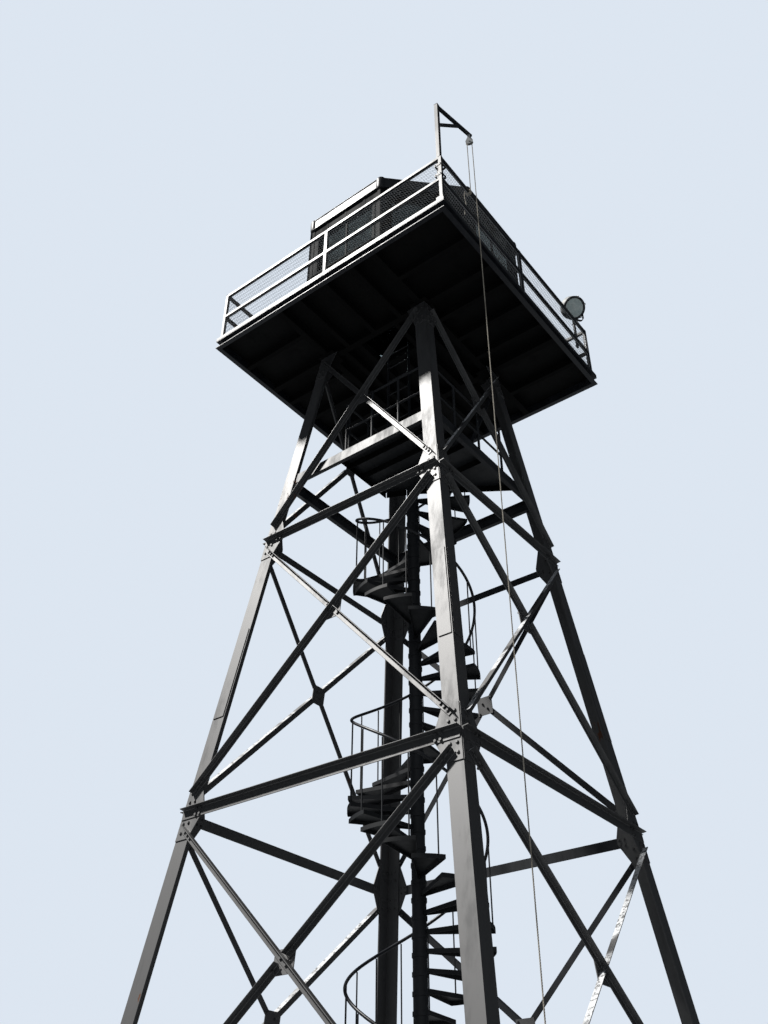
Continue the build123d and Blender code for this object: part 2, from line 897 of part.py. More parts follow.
def disc(centre, heading_deg, r, t, out=0):
    """A disc on edge whose flat faces look along the normal of a heading."""
    plane = vertical_plane(centre[0], centre[1], heading_deg).offset(out)
    return plane * Pos(0, centre[2], 0) * Cylinder(r, t)


def rope_line(side, z):
    """A point of the rope's plumb line on one side of the sheave: 1 falling, -1 tied."""
    x, y, _ = davit_point(sheave_reach, 0)
    a = radians(sheave_heading_deg)
    r = side * sheave_pitch_r
    return (x + r * cos(a), y + r * sin(a), z)


def build_hoist():
    """Pulley block under the arm, the rope over it, its tie on the rail and its hook."""
    centre = davit_point(sheave_reach, sheave_z)
    turn = sheave_heading_deg
    groove_r = sheave_pitch_r - rope_d / 2 - curve_gap
    inside = sheave_w / 2 + cheek_gap
    outside = inside + cheek_t
    block = disc(centre, turn, groove_r, sheave_w) + disc(centre, turn, axle_r, 2 * outside)
    for side in (-1, 1):
        block += disc(centre, turn, cheek_r, cheek_t, side * (inside + cheek_t / 2))
    rope_top = sheave_z + sheave_pitch_r + rope_d / 2
    hanger_low = rope_top + cheek_gap
    w = hanger_w / 2
    outline = [(-w, hanger_low), (w, hanger_low), (w, arm_low_z), (-w, arm_low_z)]
    plane = vertical_plane(centre[0], centre[1], turn).offset(-outside)
    block += prism(outline, plane, 2 * outside)
    save("pulley_block", block)

    tie_top_z = top_rail_z + rail_tube / 2 + rope_d
    tied = rope_line(-1, tie_top_z)
    route = Wire(
        [
            Line(tied, rope_line(-1, sheave_z)),
            ThreePointArc(
                rope_line(-1, sheave_z),
                (centre[0], centre[1], sheave_z + sheave_pitch_r),
                rope_line(1, sheave_z),
            ),
            Line(rope_line(1, sheave_z), rope_line(1, rope_foot_z)),
        ]
    )
    circle = Plane(origin=tied, z_dir=(0, 0, 1)) * Circle(rope_d / 2)
    rope = sweep(circle, path=route)
    print(f"hoist rope: length {route.length:.0f} mm, bend radius {sheave_pitch_r} mm")
    print(f"hoist rope volume over section x length: {rope.volume / (circle.area * route.length):.4f}")
    save("hoist_rope", rope)

    half = tie_turns * rope_d / 2
    r = rail_tube / 2
    plane = Plane(origin=(post_line, tied[1] - half, top_rail_z), x_dir=(1, 0, 0), z_dir=(0, 1, 0))
    ring = RectangleRounded(2 * (r + rope_d), 2 * (r + rope_d), rope_d)
    tie = extrude(plane * (ring - Rectangle(2 * r, 2 * r)), amount=2 * half)
    save("rope_tie", tie)

    x, y, z = rope_line(1, rope_foot_z)
    ring_z = z - shank_h - hook_r
    hook = tube_between((x, y, z - shank_h), (x, y, z), shank_r)
    start = Plane(origin=(x, y, ring_z + hook_r), z_dir=(1, 0, 0)) * Circle(hook_d / 2)
    hook += revolve(start, Axis((x, y, ring_z), (0, 1, 0)), hook_sweep_deg)
    save("rope_hook", hook)


# Floodlight


def build_floodlight():
    """Bracket pipe on the railing, yoke that pans on it, and the lamp that tilts in the yoke."""
    x, y = rail_inner - stub_r, lamp_y
    yoke_z = stub_top_z + yoke_t
    bracket = tube_between((x, y, stub_foot_z), (x, y, stub_top_z), stub_r)
    bracket += tube_between((x, y, stub_top_z), (x, y, yoke_z + nut_h), spigot_r)
    nut_plane = Plane.XY.offset(yoke_z + pin_fit)
    nut = extrude(nut_plane * Pos(x, y) * RegularPolygon(nut_r, 6), amount=nut_h - pin_fit)
    save("lamp_bracket", bracket + nut)

    pivot_z = stub_top_z + pivot_above_stub
    facing = Pos(x, y, pivot_z) * Rot(0, 0, lamp_heading_deg)
    arm_in = lamp_r + yoke_gap
    arm_out = arm_in + yoke_t
    w = yoke_w / 2
    low = -pivot_above_stub
    strap = RectangleRounded(2 * arm_out, -2 * low, yoke_bend)
    strap -= RectangleRounded(2 * arm_in, -2 * (low + yoke_t), yoke_bend - yoke_t)
    yoke = extrude(Plane.YZ * strap, amount=w, both=True)
    yoke &= box(-w, w, -arm_out, arm_out, low, yoke_above_pivot)
    yoke -= tube_between((0, -2 * arm_out, 0), (0, 2 * arm_out, 0), pivot_pin_r + pin_fit)
    yoke -= Pos(0, 0, low) * Cylinder(spigot_r + pin_fit, 4 * yoke_t)
    save("lamp_yoke", facing * yoke)

    front = lamp_depth / 2
    seat = front - lens_depth
    outline = [
        (-front, 0),
        (-front, lamp_back_r),
        (-front + lamp_shoulder, lamp_r),
        (front, lamp_r),
        (front, lens_seat_r),
        (seat, lens_seat_r),
        (seat, 0),
    ]
    shell = revolve(Plane.XZ * make_face(Polyline(*outline, close=True)), Axis.X)
    pins = arm_out + pin_fit
    shell += tube_between((0, lamp_r - pivot_head_t, 0), (0, pins, 0), pivot_pin_r)
    shell += tube_between((0, -lamp_r + pivot_head_t, 0), (0, -pins, 0), pivot_pin_r)
    shell += tube_between((0, pins, 0), (0, pins + pivot_head_t, 0), pivot_head_r)
    shell += tube_between((0, -pins, 0), (0, -pins - pivot_head_t, 0), pivot_head_r)
    lens = tube_between((seat, 0, 0), (seat + lens_t, 0, 0), lens_r)
    aimed = facing * Rot(0, lamp_down_deg, 0)
    save("lamp_housing", aimed * shell)
    save("lamp_lens", aimed * lens)


if __name__ == "__main__":
    os.makedirs("parts", exist_ok=True)
    build_faces()
    build_legs()
    build_landing()
    build_platform()
    build_railing()
    build_cabin()
    build_stair()
    build_davit()
    build_hoist()
    build_floodlight()
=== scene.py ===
from math import atan2, cos, degrees, hypot, pi, radians, sin, sqrt, tan

import bmesh
import bpy
from mathutils import Matrix, Vector


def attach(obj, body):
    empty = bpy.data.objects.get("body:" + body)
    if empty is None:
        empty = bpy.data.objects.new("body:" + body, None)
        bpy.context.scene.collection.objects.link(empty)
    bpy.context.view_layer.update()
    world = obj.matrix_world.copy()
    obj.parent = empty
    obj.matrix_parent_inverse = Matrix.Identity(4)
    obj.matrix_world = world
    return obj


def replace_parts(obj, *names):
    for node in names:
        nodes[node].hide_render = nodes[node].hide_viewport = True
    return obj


# %% [markdown]
# A guard tower of painted steel angles: four battered legs with X bracing, a spiral stair, a
# landing, and a platform that carries an octagonal cabin, a hoist davit and a floodlight.
# The shapes that carry the tower come ready made from the CAD model. This lesson dresses them:
# it adds what is too fine for CAD, such as wire mesh, bolts, window frames and rope strands,
# and it gives every surface a procedural finish.

# %% Load the frame
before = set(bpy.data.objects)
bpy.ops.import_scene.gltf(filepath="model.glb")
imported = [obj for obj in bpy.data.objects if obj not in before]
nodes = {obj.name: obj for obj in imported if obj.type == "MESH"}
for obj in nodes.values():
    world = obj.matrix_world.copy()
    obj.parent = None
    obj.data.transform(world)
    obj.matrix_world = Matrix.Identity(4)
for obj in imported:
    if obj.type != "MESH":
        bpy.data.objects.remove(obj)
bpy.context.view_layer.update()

# %% [markdown]
# The photograph was taken by someone who stood a few metres from one leg and looked up. A camera
# is set by its place and three turns: yaw round the upright, pitch above the horizon, and a
# slight roll. Working these out from the tower's own corners keeps every edge where it was, so
# no lens shift is needed.

# %% Camera
camera_place = (7.0231, -9.7224, 1.6113)
yaw, pitch, roll = 37.887, 36.586, 0.27


def move(x, y, z):
    """A matrix that moves."""
    return Matrix.Translation((x, y, z))


def spun(angle, axis="Z"):
    """A matrix that turns by degrees about an axis."""
    return Matrix.Rotation(radians(angle), 4, axis)


def along(start, end):
    """A matrix at start whose Z points to end."""
    turned = (Vector(end) - Vector(start)).to_track_quat("Z", "Y").to_matrix().to_4x4()
    return move(*start) @ turned


def show(name, data, matrix=Matrix.Identity(4)):
    """An object in the scene, set in place."""
    made = bpy.data.objects.new(name, data)
    made.matrix_world = matrix
    bpy.context.collection.objects.link(made)
    return made


camera_data = bpy.data.cameras.new("camera")
camera_data.sensor_width = 36
camera_data.lens = 35.156
camera_data.clip_end = 400
turn = spun(yaw) @ spun(90 + pitch, "X") @ spun(roll)
camera = show("camera", camera_data, move(*camera_place) @ turn)
bpy.context.scene.camera = camera
print("camera", [round(x, 3) for x in camera.location])

# %% [markdown]
# Every surface gets its colour from shader nodes. These helpers keep that short: one adds a node
# and fills its inputs with values or with the outputs of other nodes, and the others name the
# few kinds of node that come again and again. A socket knows its tree, so most helpers need no
# tree. The noise is read in the object's own coordinates, so it stays on a part that moves.

# %% Helpers for shader nodes


def fill(made, **inputs):
    """Fills a node's inputs, named by label or as _2 by number, with values or sockets."""
    for label, value in inputs.items():
        socket = made.inputs[int(label[1:]) if label[0] == "_" else label.replace("_", " ")]
        if isinstance(value, bpy.types.NodeSocket):
            made.id_data.links.new(value, socket)
        else:
            socket.default_value = (*value, 1) if socket.type == "RGBA" else value
    return made


def node(tree, kind, settings=None, **inputs):
    """Adds a shader node, sets its options and fills its inputs."""
    made = tree.nodes.new("ShaderNode" + kind)
    for key, value in (settings or {}).items():
        setattr(made, key, value)
    return fill(made, **inputs)


def math(operation, *values):
    """One step of arithmetic on masks."""
    tree = next(value.id_data for value in values if isinstance(value, bpy.types.NodeSocket))
    inputs = {f"_{i}": value for i, value in enumerate(values)}
    return node(tree, "Math", {"operation": operation}, **inputs).outputs[0]


def plus(a, b):
    """The sum of two masks."""
    return math("ADD", a, b)


def times(a, b):
    """The product of two masks."""
    return math("MULTIPLY", a, b)


def ramp(value, low, high, to_low=0.0, to_high=1.0):
    """A value stretched from one range to another, smooth at both ends."""
    made = node(value.id_data, "MapRange", {"interpolation_type": "SMOOTHSTEP"}, Value=value)
    fill(made, From_Min=low, From_Max=high, To_Min=to_low, To_Max=to_high)
    return made.outputs["Result"]


def mix(mask, a, b):
    """Two colours mixed by a mask."""
    return node(mask.id_data, "Mix", {"data_type": "RGBA"}, _0=mask, _6=a, _7=b).outputs[2]


def object_place(tree):
    """The shaded point in the object's own coordinates."""
    return node(tree, "TexCoord").outputs["Object"]


def noise(tree, scale, detail, rough, place=None):
    """Fractal noise from 0 to 1."""
    place = place or object_place(tree)
    made = node(tree, "TexNoise", Vector=place, Scale=scale, Detail=detail, Roughness=rough)
    return made.outputs["Fac"]


def bump(shader, height, strength, distance):
    """Feeds a height into the shader's normal."""
    made = node(shader.id_data, "Bump", Height=height, Strength=strength, Distance=distance)
    fill(shader, Normal=made.outputs["Normal"])


def material(name):
    """A new material with its node tree and its shader."""
    made = bpy.data.materials.new(name)
    made.use_nodes = True
    return made, made.node_tree, made.node_tree.nodes["Principled BSDF"]


def group(name, inputs, outputs):
    """A new node group of masks with the nodes that stand for its inputs and outputs."""
    tree = bpy.data.node_groups.new(name, "ShaderNodeTree")
    for labels, side in ((inputs, "INPUT"), (outputs, "OUTPUT")):
        for label in labels:
            tree.interface.new_socket(label, in_out=side, socket_type="NodeSocketFloat")
    return tree, tree.nodes.new("NodeGroupInput"), tree.nodes.new("NodeGroupOutput")


# %% [markdown]
# The stage is a pale floor under a pale sky. The world shows that paleness to rays that come
# from the camera or through glass. As a light it is much dimmer, dimmest in reflections, and the
# floor throws little light back up, so that the shaded sides of the dark paint and the underside
# of the deck stay dark.

# %% Floor and world
stage_radius = 60
stage_pale = (0.72, 0.79, 0.88)
floor_shown, floor_thrown = (0.56, 0.60, 0.64), (0.16, 0.17, 0.18)
sky_light, gloss_light = 0.13, 0.06

bm = bmesh.new()
bmesh.ops.create_circle(bm, cap_ends=True, segments=96, radius=stage_radius)
floor_mesh = bpy.data.meshes.new("stage_floor")
bm.to_mesh(floor_mesh)
bm.free()
stage_floor = show("stage_floor", floor_mesh)
floor_paint, tree, shader = material("stage_floor")
rays = node(tree, "LightPath")
bounced = math("MAXIMUM", rays.outputs["Is Diffuse Ray"], rays.outputs["Is Glossy Ray"])
fill(shader, Base_Color=mix(bounced, floor_shown, floor_thrown), Roughness=0.9)
floor_mesh.materials.append(floor_paint)

world = bpy.data.worlds.new("world")
world.use_nodes = True
bpy.context.scene.world = world
tree = world.node_tree
rays = node(tree, "LightPath")
glossy = rays.outputs["Is Glossy Ray"]
strength = math("MULTIPLY_ADD", glossy, gloss_light - sky_light, sky_light)
for shown in ("Is Camera Ray", "Is Transmission Ray"):
    strength = math("MAXIMUM", strength, rays.outputs[shown])
fill(tree.nodes["Background"], Color=stage_pale, Strength=strength)

# %% [markdown]
# The key light stands high on the left, a little in front of the tower. From there it glances
# off the semi-gloss paint of the front faces towards the camera, which is what makes them pale
# while the other faces stay nearly black. A small angle keeps its reflection out of the flat
# window panes, and a wide, weak fill lamp softens the shadows.

# %% Lights


def far_lamp(name, towards, power, softness, colour):
    """A lamp so far away that its light is parallel; towards points from the tower to it."""
    towards = Vector(towards)
    lamp = bpy.data.lights.new(name, "SUN")
    lamp.energy = power
    lamp.angle = radians(softness)
    lamp.color = colour
    show(name, lamp, along(20 * towards, 21 * towards))


far_lamp("key", (-0.44, -0.41, 0.80), 5.0, 4, (1, 0.98, 0.95))
far_lamp("fill", (1.2, -1.6, 0.5), 0.16, 60, (0.9, 0.95, 1))
bpy.context.scene.view_settings.view_transform = "Standard"

# %% [markdown]
# Materials come before the pieces. Old paint outdoors is never one colour: rain draws dirt and
# rust down from bolts and joints, the sun turns the binder to chalk, and the coat has a fine
# orange-peel texture. The first node group makes those masks from noise on object coordinates,
# squeezed along Z so that the stains run down, and every painted material uses it.

# %% Node group: weather
streak = 0.25

tree, start, end = group("weather", ["Rust"], ["Rust", "Chalk", "Grain"])
weather = tree
place = object_place(tree)
flow = node(tree, "VectorMath", {"operation": "MULTIPLY"}, _0=place, _1=(1, 1, streak)).outputs[0]
drips = noise(tree, 16, 5, 0.62, flow)
stain = plus(times(noise(tree, 0.9, 6, 0.68), 0.62), times(drips, 0.38))
edge = math("SUBTRACT", 0.78, times(start.outputs["Rust"], 0.3))
rust = ramp(math("SUBTRACT", stain, edge), 0.0, 0.055)
chalk = ramp(noise(tree, 3.1, 5, 0.7, flow), 0.42, 0.72)
grain = plus(times(noise(tree, 55, 3, 0.5), 0.08), times(rust, drips))
fill(end, Rust=rust, Chalk=chalk, Grain=grain)
print("weather group", len(tree.nodes), "nodes")

# %% [markdown]
# A painted material puts the group's masks over a base colour: first chalk, which lightens and
# dulls the coat, then rust, which is brown and quite matt. The shader itself stays in the
# material, and only masks come out of the group. The legs and braces have a glossier coat,
# which throws the sun back as a pale glare.

# %% Painted metal
rust_brown = (0.14, 0.055, 0.025)
glossy_coat_ior = 1.8


def painted(name, colour, chalky, gloss, rust_amount, shine=0.5):
    """Weathered paint: its colour, the colour it chalks to, roughness, rust and reflectivity."""
    made, tree, shader = material(name)
    masks = node(tree, "Group", {"node_tree": weather}, Rust=rust_amount)
    rust, chalk = masks.outputs["Rust"], masks.outputs["Chalk"]
    coat = mix(times(chalk, 0.5), colour, chalky)
    rough = plus(ramp(rust, 0, 1, gloss, 0.9), times(chalk, 0.1))
    level = times(ramp(rust, 0, 1, shine, 0.2 * shine), ramp(chalk, 0, 1, 1, 0.7))
    fill(shader, Base_Color=mix(rust, coat, rust_brown), Roughness=rough)
    fill(shader, Specular_IOR_Level=level)
    bump(shader, masks.outputs["Grain"], 0.25, 0.0008)
    return made


black_paint = painted("black_paint", (0.010, 0.012, 0.016), (0.055, 0.059, 0.066), 0.5, 0.42, 0.55)
leg_paint = painted("leg_paint", (0.009, 0.010, 0.013), (0.06, 0.062, 0.065), 0.58, 0.5, 1.0)
brace_paint = painted("brace_paint", (0.007, 0.008, 0.010), (0.035, 0.036, 0.04), 0.52, 0.55, 1.0)
rail_paint = painted("rail_paint", (0.011, 0.013, 0.018), (0.05, 0.053, 0.058), 0.4, 0.25)
wall_paint = painted("wall_paint", (0.004, 0.005, 0.006), (0.014, 0.015, 0.017), 0.72, 0.15, 0.1)
# Near black paint under the deck and landing: painted shade.
under_shade_paint = painted("under_shade_paint", (0.005, 0.005, 0.005), (0.014, 0.014, 0.014), 0.8, 0.3, 0.1)
lamp_paint = painted("lamp_paint", (0.4, 0.41, 0.41), (0.52, 0.52, 0.5), 0.42, 0.22)
for glaring in (leg_paint, brace_paint):
    fill(glaring.node_tree.nodes["Principled BSDF"], IOR=glossy_coat_ior)
print("painted materials", len(bpy.data.materials))

# %% [markdown]
# The diagonals of the two sides that rise towards the back carry the sun on the upper face of
# their outward flange. There they are painted with white patches, partly flaked, faded paint
# and partly a painted glare of the sun. The patches keep to faces that look up towards the front
# and the key light, so the rest of each bar stays black.

# %% Flakes and painted glare
# Faces turned this way, towards the key light, turn white: painted glare mixed with flaked paint.
sun_glare_facing = (0, -0.75, 0.66)
flake_and_glare_white = (0.66, 0.68, 0.7)

flakes_and_glare_paint = brace_paint.copy()
flakes_and_glare_paint.name = "flakes_and_glare_paint"
tree = flakes_and_glare_paint.node_tree
shader = tree.nodes["Principled BSDF"]
facing = node(tree, "NewGeometry").outputs["True Normal"]
lean = node(tree, "VectorMath", {"operation": "DOT_PRODUCT"}, _0=facing, _1=sun_glare_facing)
flake_and_glare_mask = ramp(lean.outputs["Value"], 0.85, 0.92)
for scale, detail, rough in ((1.1, 3, 0.5), (14, 6, 0.8)):
    flake_and_glare_mask = times(flake_and_glare_mask, ramp(noise(tree, scale, detail, rough), 0.42, 0.5))
coat = shader.inputs["Base Color"].links[0].from_socket
# White patches: painted sun glare together with flaked paint.
fill(shader, Base_Color=mix(flake_and_glare_mask, coat, flake_and_glare_white))
print("flakes on", flakes_and_glare_paint.name)

# %% [markdown]
# Treads and walkway plates are checker plate: raised lozenges in two crossing directions that
# keep a wet boot from slipping. Two sets of waves at right angles, multiplied, leave such
# lozenges where both are high. The pattern lies flat, so only X and Y of the object's
# coordinates take part. The other faces of the plates get a darker colour: painted shade.

# %% Checker plate
lozenge_pitch = 0.055
worn_steel = (0.16, 0.155, 0.15)
steel_grey, steel_chalk = (0.03, 0.031, 0.033), (0.07, 0.07, 0.07)

tree, start, end = group("checker", [], ["Height"])
checker = tree
flat = node(tree, "SeparateXYZ", Vector=object_place(tree)).outputs
waves = []
for operation in ("ADD", "SUBTRACT"):
    wave = times(math(operation, flat["X"], flat["Y"]), pi / lozenge_pitch)
    waves.append(math("ABSOLUTE", math("SINE", wave)))
rows = [
    times(math("POWER", thin, 6.0), math("SUBTRACT", 1.0, wide))
    for thin, wide in (waves, reversed(waves))
]
fill(end, Height=ramp(plus(*rows), 0.2, 0.5))


def checkered(name, gloss, shade_below, shine):
    """Checker plate with worn lozenges on its top, and a darker colour, painted shade, on its other
    faces.
    """
    made = painted(name, steel_grey, steel_chalk, gloss, 0.5, shine)
    tree = made.node_tree
    shader, relief = tree.nodes["Principled BSDF"], tree.nodes["Bump"]
    pattern = node(tree, "Group", {"node_tree": checker})
    facing = node(tree, "NewGeometry").outputs["True Normal"]
    up = ramp(node(tree, "SeparateXYZ", Vector=facing).outputs["Z"], 0.5, 0.6)
    lozenges = times(pattern.outputs["Height"], up)
    # Faces that don't look up get the darker colour: painted shade under the plates.
    coat = mix(up, shade_below, shader.inputs["Base Color"].links[0].from_socket)
    fill(shader, Base_Color=mix(times(lozenges, 0.35), coat, worn_steel))
    grain = relief.inputs["Height"].links[0].from_socket
    fill(relief, Height=plus(lozenges, times(grain, 0.3)))
    return made


# The second colour of each is a painted shade for the undersides.
tread_paint = checkered("tread_paint", 0.45, (0.018, 0.02, 0.023), 0.45)
deck_paint = checkered("deck_paint", 0.6, (0.006, 0.006, 0.006), 0.12)

# %% [markdown]
# The remaining finishes are each one material: galvanised wire with the flake pattern of zinc,
# concrete with the boards of its formwork, window glass, the fluted lens of the lamp, laid
# rope and dull forged steel.

# %% Zinc and forged steel
zinc, tree, shader = material("zinc")
flakes = node(tree, "TexVoronoi", Vector=object_place(tree), Scale=90.0)
tone = node(tree, "SeparateColor", Color=flakes.outputs["Color"]).outputs[0]
tarnish = ramp(noise(tree, 2.2, 5, 0.65), 0.45, 0.75)
tone = mix(tone, (0.5, 0.52, 0.54), (0.66, 0.68, 0.7))
fill(shader, Base_Color=mix(tarnish, tone, (0.2, 0.17, 0.14)), Metallic=0.6)
fill(shader, Roughness=ramp(tarnish, 0, 1, 0.38, 0.75))

forged, tree, shader = material("forged")
scale = noise(tree, 60, 5, 0.65)
rusted = ramp(noise(tree, 9, 5, 0.7), 0.5, 0.66)
tone = mix(scale, (0.1, 0.1, 0.1), (0.22, 0.21, 0.2))
fill(shader, Base_Color=mix(rusted, tone, rust_brown), Metallic=0.6)
fill(shader, Roughness=ramp(rusted, 0, 1, 0.45, 0.85))
bump(shader, scale, 0.4, 0.001)

# %% Concrete
board_h = 0.15

concrete, tree, shader = material("concrete")
height = node(tree, "SeparateXYZ", Vector=object_place(tree)).outputs["Z"]
board = math("FRACT", math("DIVIDE", height, board_h))
seam = plus(ramp(board, 0, 0.05, 1, 0), ramp(board, 0.95, 1))
cloud = noise(tree, 2.3, 5, 0.7)
pores = node(tree, "TexVoronoi", Vector=object_place(tree), Scale=38.0).outputs["Distance"]
damp = ramp(plus(height, times(cloud, 0.35)), 0.15, 0.42, 1, 0)
tone = mix(cloud, (0.36, 0.35, 0.33), (0.52, 0.51, 0.48))
tone = mix(times(damp, 0.6), tone, (0.17, 0.17, 0.14))
tone = mix(times(seam, 0.35), tone, (0.2, 0.2, 0.19))
fill(shader, Base_Color=tone, Roughness=0.92)
relief = plus(noise(tree, 42, 6, 0.75), times(ramp(pores, 0, 0.12), 0.8))
bump(shader, math("SUBTRACT", relief, times(seam, 1.2)), 0.6, 0.004)

# %% Glass and rope
window_glass, tree, shader = material("window_glass")
dust = ramp(noise(tree, 3.5, 6, 0.7), 0.45, 0.8)
fill(shader, Base_Color=(0.3, 0.36, 0.36), Roughness=0, IOR=1.45)
fill(shader, Transmission_Weight=ramp(dust, 0, 1, 0.97, 0.8))

lens_glass, tree, shader = material("lens_glass")
haze = ramp(noise(tree, 14, 5, 0.6), 0.35, 0.7)
tone = mix(haze, (0.66, 0.78, 0.77), (0.78, 0.86, 0.84))
fill(shader, Base_Color=tone, Roughness=ramp(haze, 0, 1, 0.12, 0.3))
fill(shader, Transmission_Weight=0.05, IOR=1.5)

rope_fibre, tree, shader = material("rope_fibre")
fibre = noise(tree, 420, 3, 0.7)
dirt = ramp(noise(tree, 5, 4, 0.6), 0.4, 0.7)
tone = mix(fibre, (0.34, 0.3, 0.24), (0.62, 0.58, 0.5))
tone = mix(times(dirt, 0.5), tone, (0.16, 0.14, 0.12))
fill(shader, Base_Color=tone, Roughness=0.9)
bump(shader, fibre, 0.5, 0.001)

# %% [markdown]
# Each CAD node keeps its shape and is given a material by the words in its name. The steel under
# the deck gets a near black, dull paint that is painted shade, while the legs, out in the sun and
# rain, carry more chalk and rust. Where two words fit a node, the later line wins.

# %% Materials on the CAD nodes
finishes = {
    leg_paint: ["_leg", "gusset_plates", "splice_plates", "base_plates"],
    black_paint: ["landing_", "hatch_ladder", "stair_pole", "stair_balusters", "lamp_"],
    under_shade_paint: ["_girders", "platform_joists", "hatch_trimmer", "cap_plates", "landing_joists"],
    wall_paint: ["cabin_"],
    rail_paint: [
        "_railing", "platform_edge", "roof_fascia", "cabin_roof", "stair_handrail", "davit"
    ],
    tread_paint: ["stair_treads", "landing_floor"],
    deck_paint: ["platform_floor"],
    lamp_paint: ["lamp_housing", "pulley_block"],
    zinc: ["railing_mesh"],
    concrete: ["concrete_piers"],
    window_glass: ["cabin_glass"],
    lens_glass: ["lamp_lens"],
    rope_fibre: ["hoist_rope", "rope_tie"],
    forged: ["rope_hook"],
}
for finish, words in finishes.items():
    mine = [thing for name, thing in nodes.items() if any(word in name for word in words)]
    for thing in mine:
        thing.data.materials.clear()
        thing.data.materials.append(finish)
    print(finish.name, len(mine), "nodes")

# %% [markdown]
# Every new piece is drawn with bmesh, where it belongs on the tower, and ends as an object at
# the origin. The helpers below start shapes, set them in place and turn a finished bmesh into
# an object that rides on its CAD body and carries its material.

# %% Helpers for new pieces


def piece(name, bm, finish, body="tower", smooth=False):
    """Ends a bmesh as an object with its material, riding on its body."""
    bmesh.ops.recalc_face_normals(bm, faces=bm.faces)
    mesh = bpy.data.meshes.new(name)
    bm.to_mesh(mesh)
    bm.free()
    mesh.materials.append(finish)
    if smooth:
        mesh.shade_smooth()
        mesh.set_sharp_from_angle(angle=radians(38))
    made = show(name, mesh)
    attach(made, body)
    print(name, sum(len(face.vertices) - 2 for face in mesh.polygons), "triangles")
    return made


def since(bm, before):
    """The vertices that weren't there before."""
    return [v for v in bm.verts if v not in before]


def only_verts(geom):
    """The vertices among the elements that an operator hands back."""
    return [g for g in geom if isinstance(g, bmesh.types.BMVert)]


def settle(bm, verts, matrix):
    """Moves just made vertices to their place."""
    bmesh.ops.transform(bm, matrix=matrix, verts=verts)
    return verts


def block(bm, low, high, soft=0.0, segments=2):
    """A box between two corners, its edges rounded by soft."""
    low, high = Vector(low), Vector(high)
    place = Matrix.Translation((low + high) / 2) @ Matrix.Diagonal((*(high - low), 1))
    verts = bmesh.ops.create_cube(bm, size=1, matrix=place)["verts"]
    if soft:
        made = bmesh.ops.bevel(
            bm, geom=list({e for v in verts for e in v.link_edges}), offset=soft,
            offset_type="OFFSET", segments=segments, profile=0.5, affect="EDGES", material=-1,
        )
        verts = list({v for face in made["faces"] for v in face.verts})
    return verts


def rod(bm, start, end, radius, sides=12, end_radius=None):
    """A round bar, or a cone, between two points."""
    length = (Vector(end) - Vector(start)).length
    made = bmesh.ops.create_cone(
        bm, cap_ends=True, segments=sides, radius1=radius,
        radius2=radius if end_radius is None else end_radius, depth=length,
        matrix=along(start, end) @ move(0, 0, length / 2),
    )
    return made["verts"]


def stack(bm, *layers):
    """Round layers on the Z axis, each from one height to another, with a radius and sides."""
    return [v for z0, z1, r, sides in layers for v in rod(bm, (0, 0, z0), (0, 0, z1), r, sides)]


def plate(bm, outline, matrix, t):
    """A flat plate: an outline on X and Y, t thick along Z, set in place."""
    low = [bm.verts.new((x, y, 0)) for x, y in outline]
    made = bmesh.ops.extrude_face_region(bm, geom=[bm.faces.new(low)])["geom"]
    high = only_verts(made)
    bmesh.ops.translate(bm, verts=high, vec=(0, 0, t))
    return settle(bm, low + high, matrix)


def lathe(bm, profile, matrix, steps=32):
    """A closed profile of (radius, height) points turned round Z, then set in place."""
    before = set(bm.verts)
    face = bm.faces.new([bm.verts.new((r, 0, z)) for r, z in profile])
    outline = list(face.verts) + list(face.edges)
    bmesh.ops.delete(bm, geom=[face], context="FACES_ONLY")
    bmesh.ops.spin(
        bm, geom=outline, cent=(0, 0, 0), axis=(0, 0, 1), angle=2 * pi, steps=steps,
        use_merge=True,
    )
    made = settle(bm, since(bm, before), matrix)
    bmesh.ops.remove_doubles(bm, verts=made, dist=0.00001)


def copies(bm, verts, matrices):
    """Copies of some vertices, one for each matrix, and the originals removed."""
    geom = list(verts) + list({e for v in verts for e in v.link_edges})
    geom += list({f for v in verts for f in v.link_faces})
    for matrix in matrices:
        made = bmesh.ops.duplicate(bm, geom=geom)["geom"]
        settle(bm, only_verts(made), matrix)
    bmesh.ops.delete(bm, geom=list(verts), context="VERTS")


def spread(bm, matrices):
    """Copies of the whole bmesh so far, one for each matrix."""
    copies(bm, list(bm.verts), matrices)


def corners(d):
    """Four moves to the corners of a square, d from its centre on X and Y."""
    return [move(x, y, 0) for x in (-d, d) for y in (-d, d)]


quarters = [spun(90 * q) for q in range(4)]
eighths = [spun(45 * i) for i in range(8)]


def curve_mesh(kind, lines, cyclic=False, **settings):
    """The mesh of a curve with one spline of a kind for each line of points."""
    curve = bpy.data.curves.new("curve", "CURVE")
    curve.dimensions = "3D"
    for line in lines:
        spline = curve.splines.new(kind)
        spline.points.add(len(line) - 1)
        for point, place in zip(spline.points, line):
            point.co = (*place, 1)
        spline.use_cyclic_u = cyclic
        if kind == "NURBS":
            spline.order_u = 3
            spline.use_endpoint_u = True
    for key, value in settings.items():
        setattr(curve, key, value)
    holder = bpy.data.objects.new("curve", curve)
    mesh = bpy.data.meshes.new_from_object(holder)
    bpy.data.objects.remove(holder)
    return mesh


def tube(bm, lines, radius, cyclic=False):
    """Adds a tube along each line of points and returns its vertices."""
    mesh = curve_mesh(
        "POLY", lines, cyclic, bevel_depth=radius, bevel_resolution=1, use_fill_caps=True
    )
    before = set(bm.verts)
    bm.from_mesh(mesh)
    bpy.data.meshes.remove(mesh)
    return since(bm, before)


# %% [markdown]
# The hoist rope is tied to the top rail, runs up over the pulley under the davit's arm and hangs
# plumb almost to the ground. Its line is a NURBS spline through a handful of control points.
# A point six rope diameters below each bend keeps the long runs straight, as the weight of
# fourteen metres of rope does. The order is set after the points, so that the bend stays round.

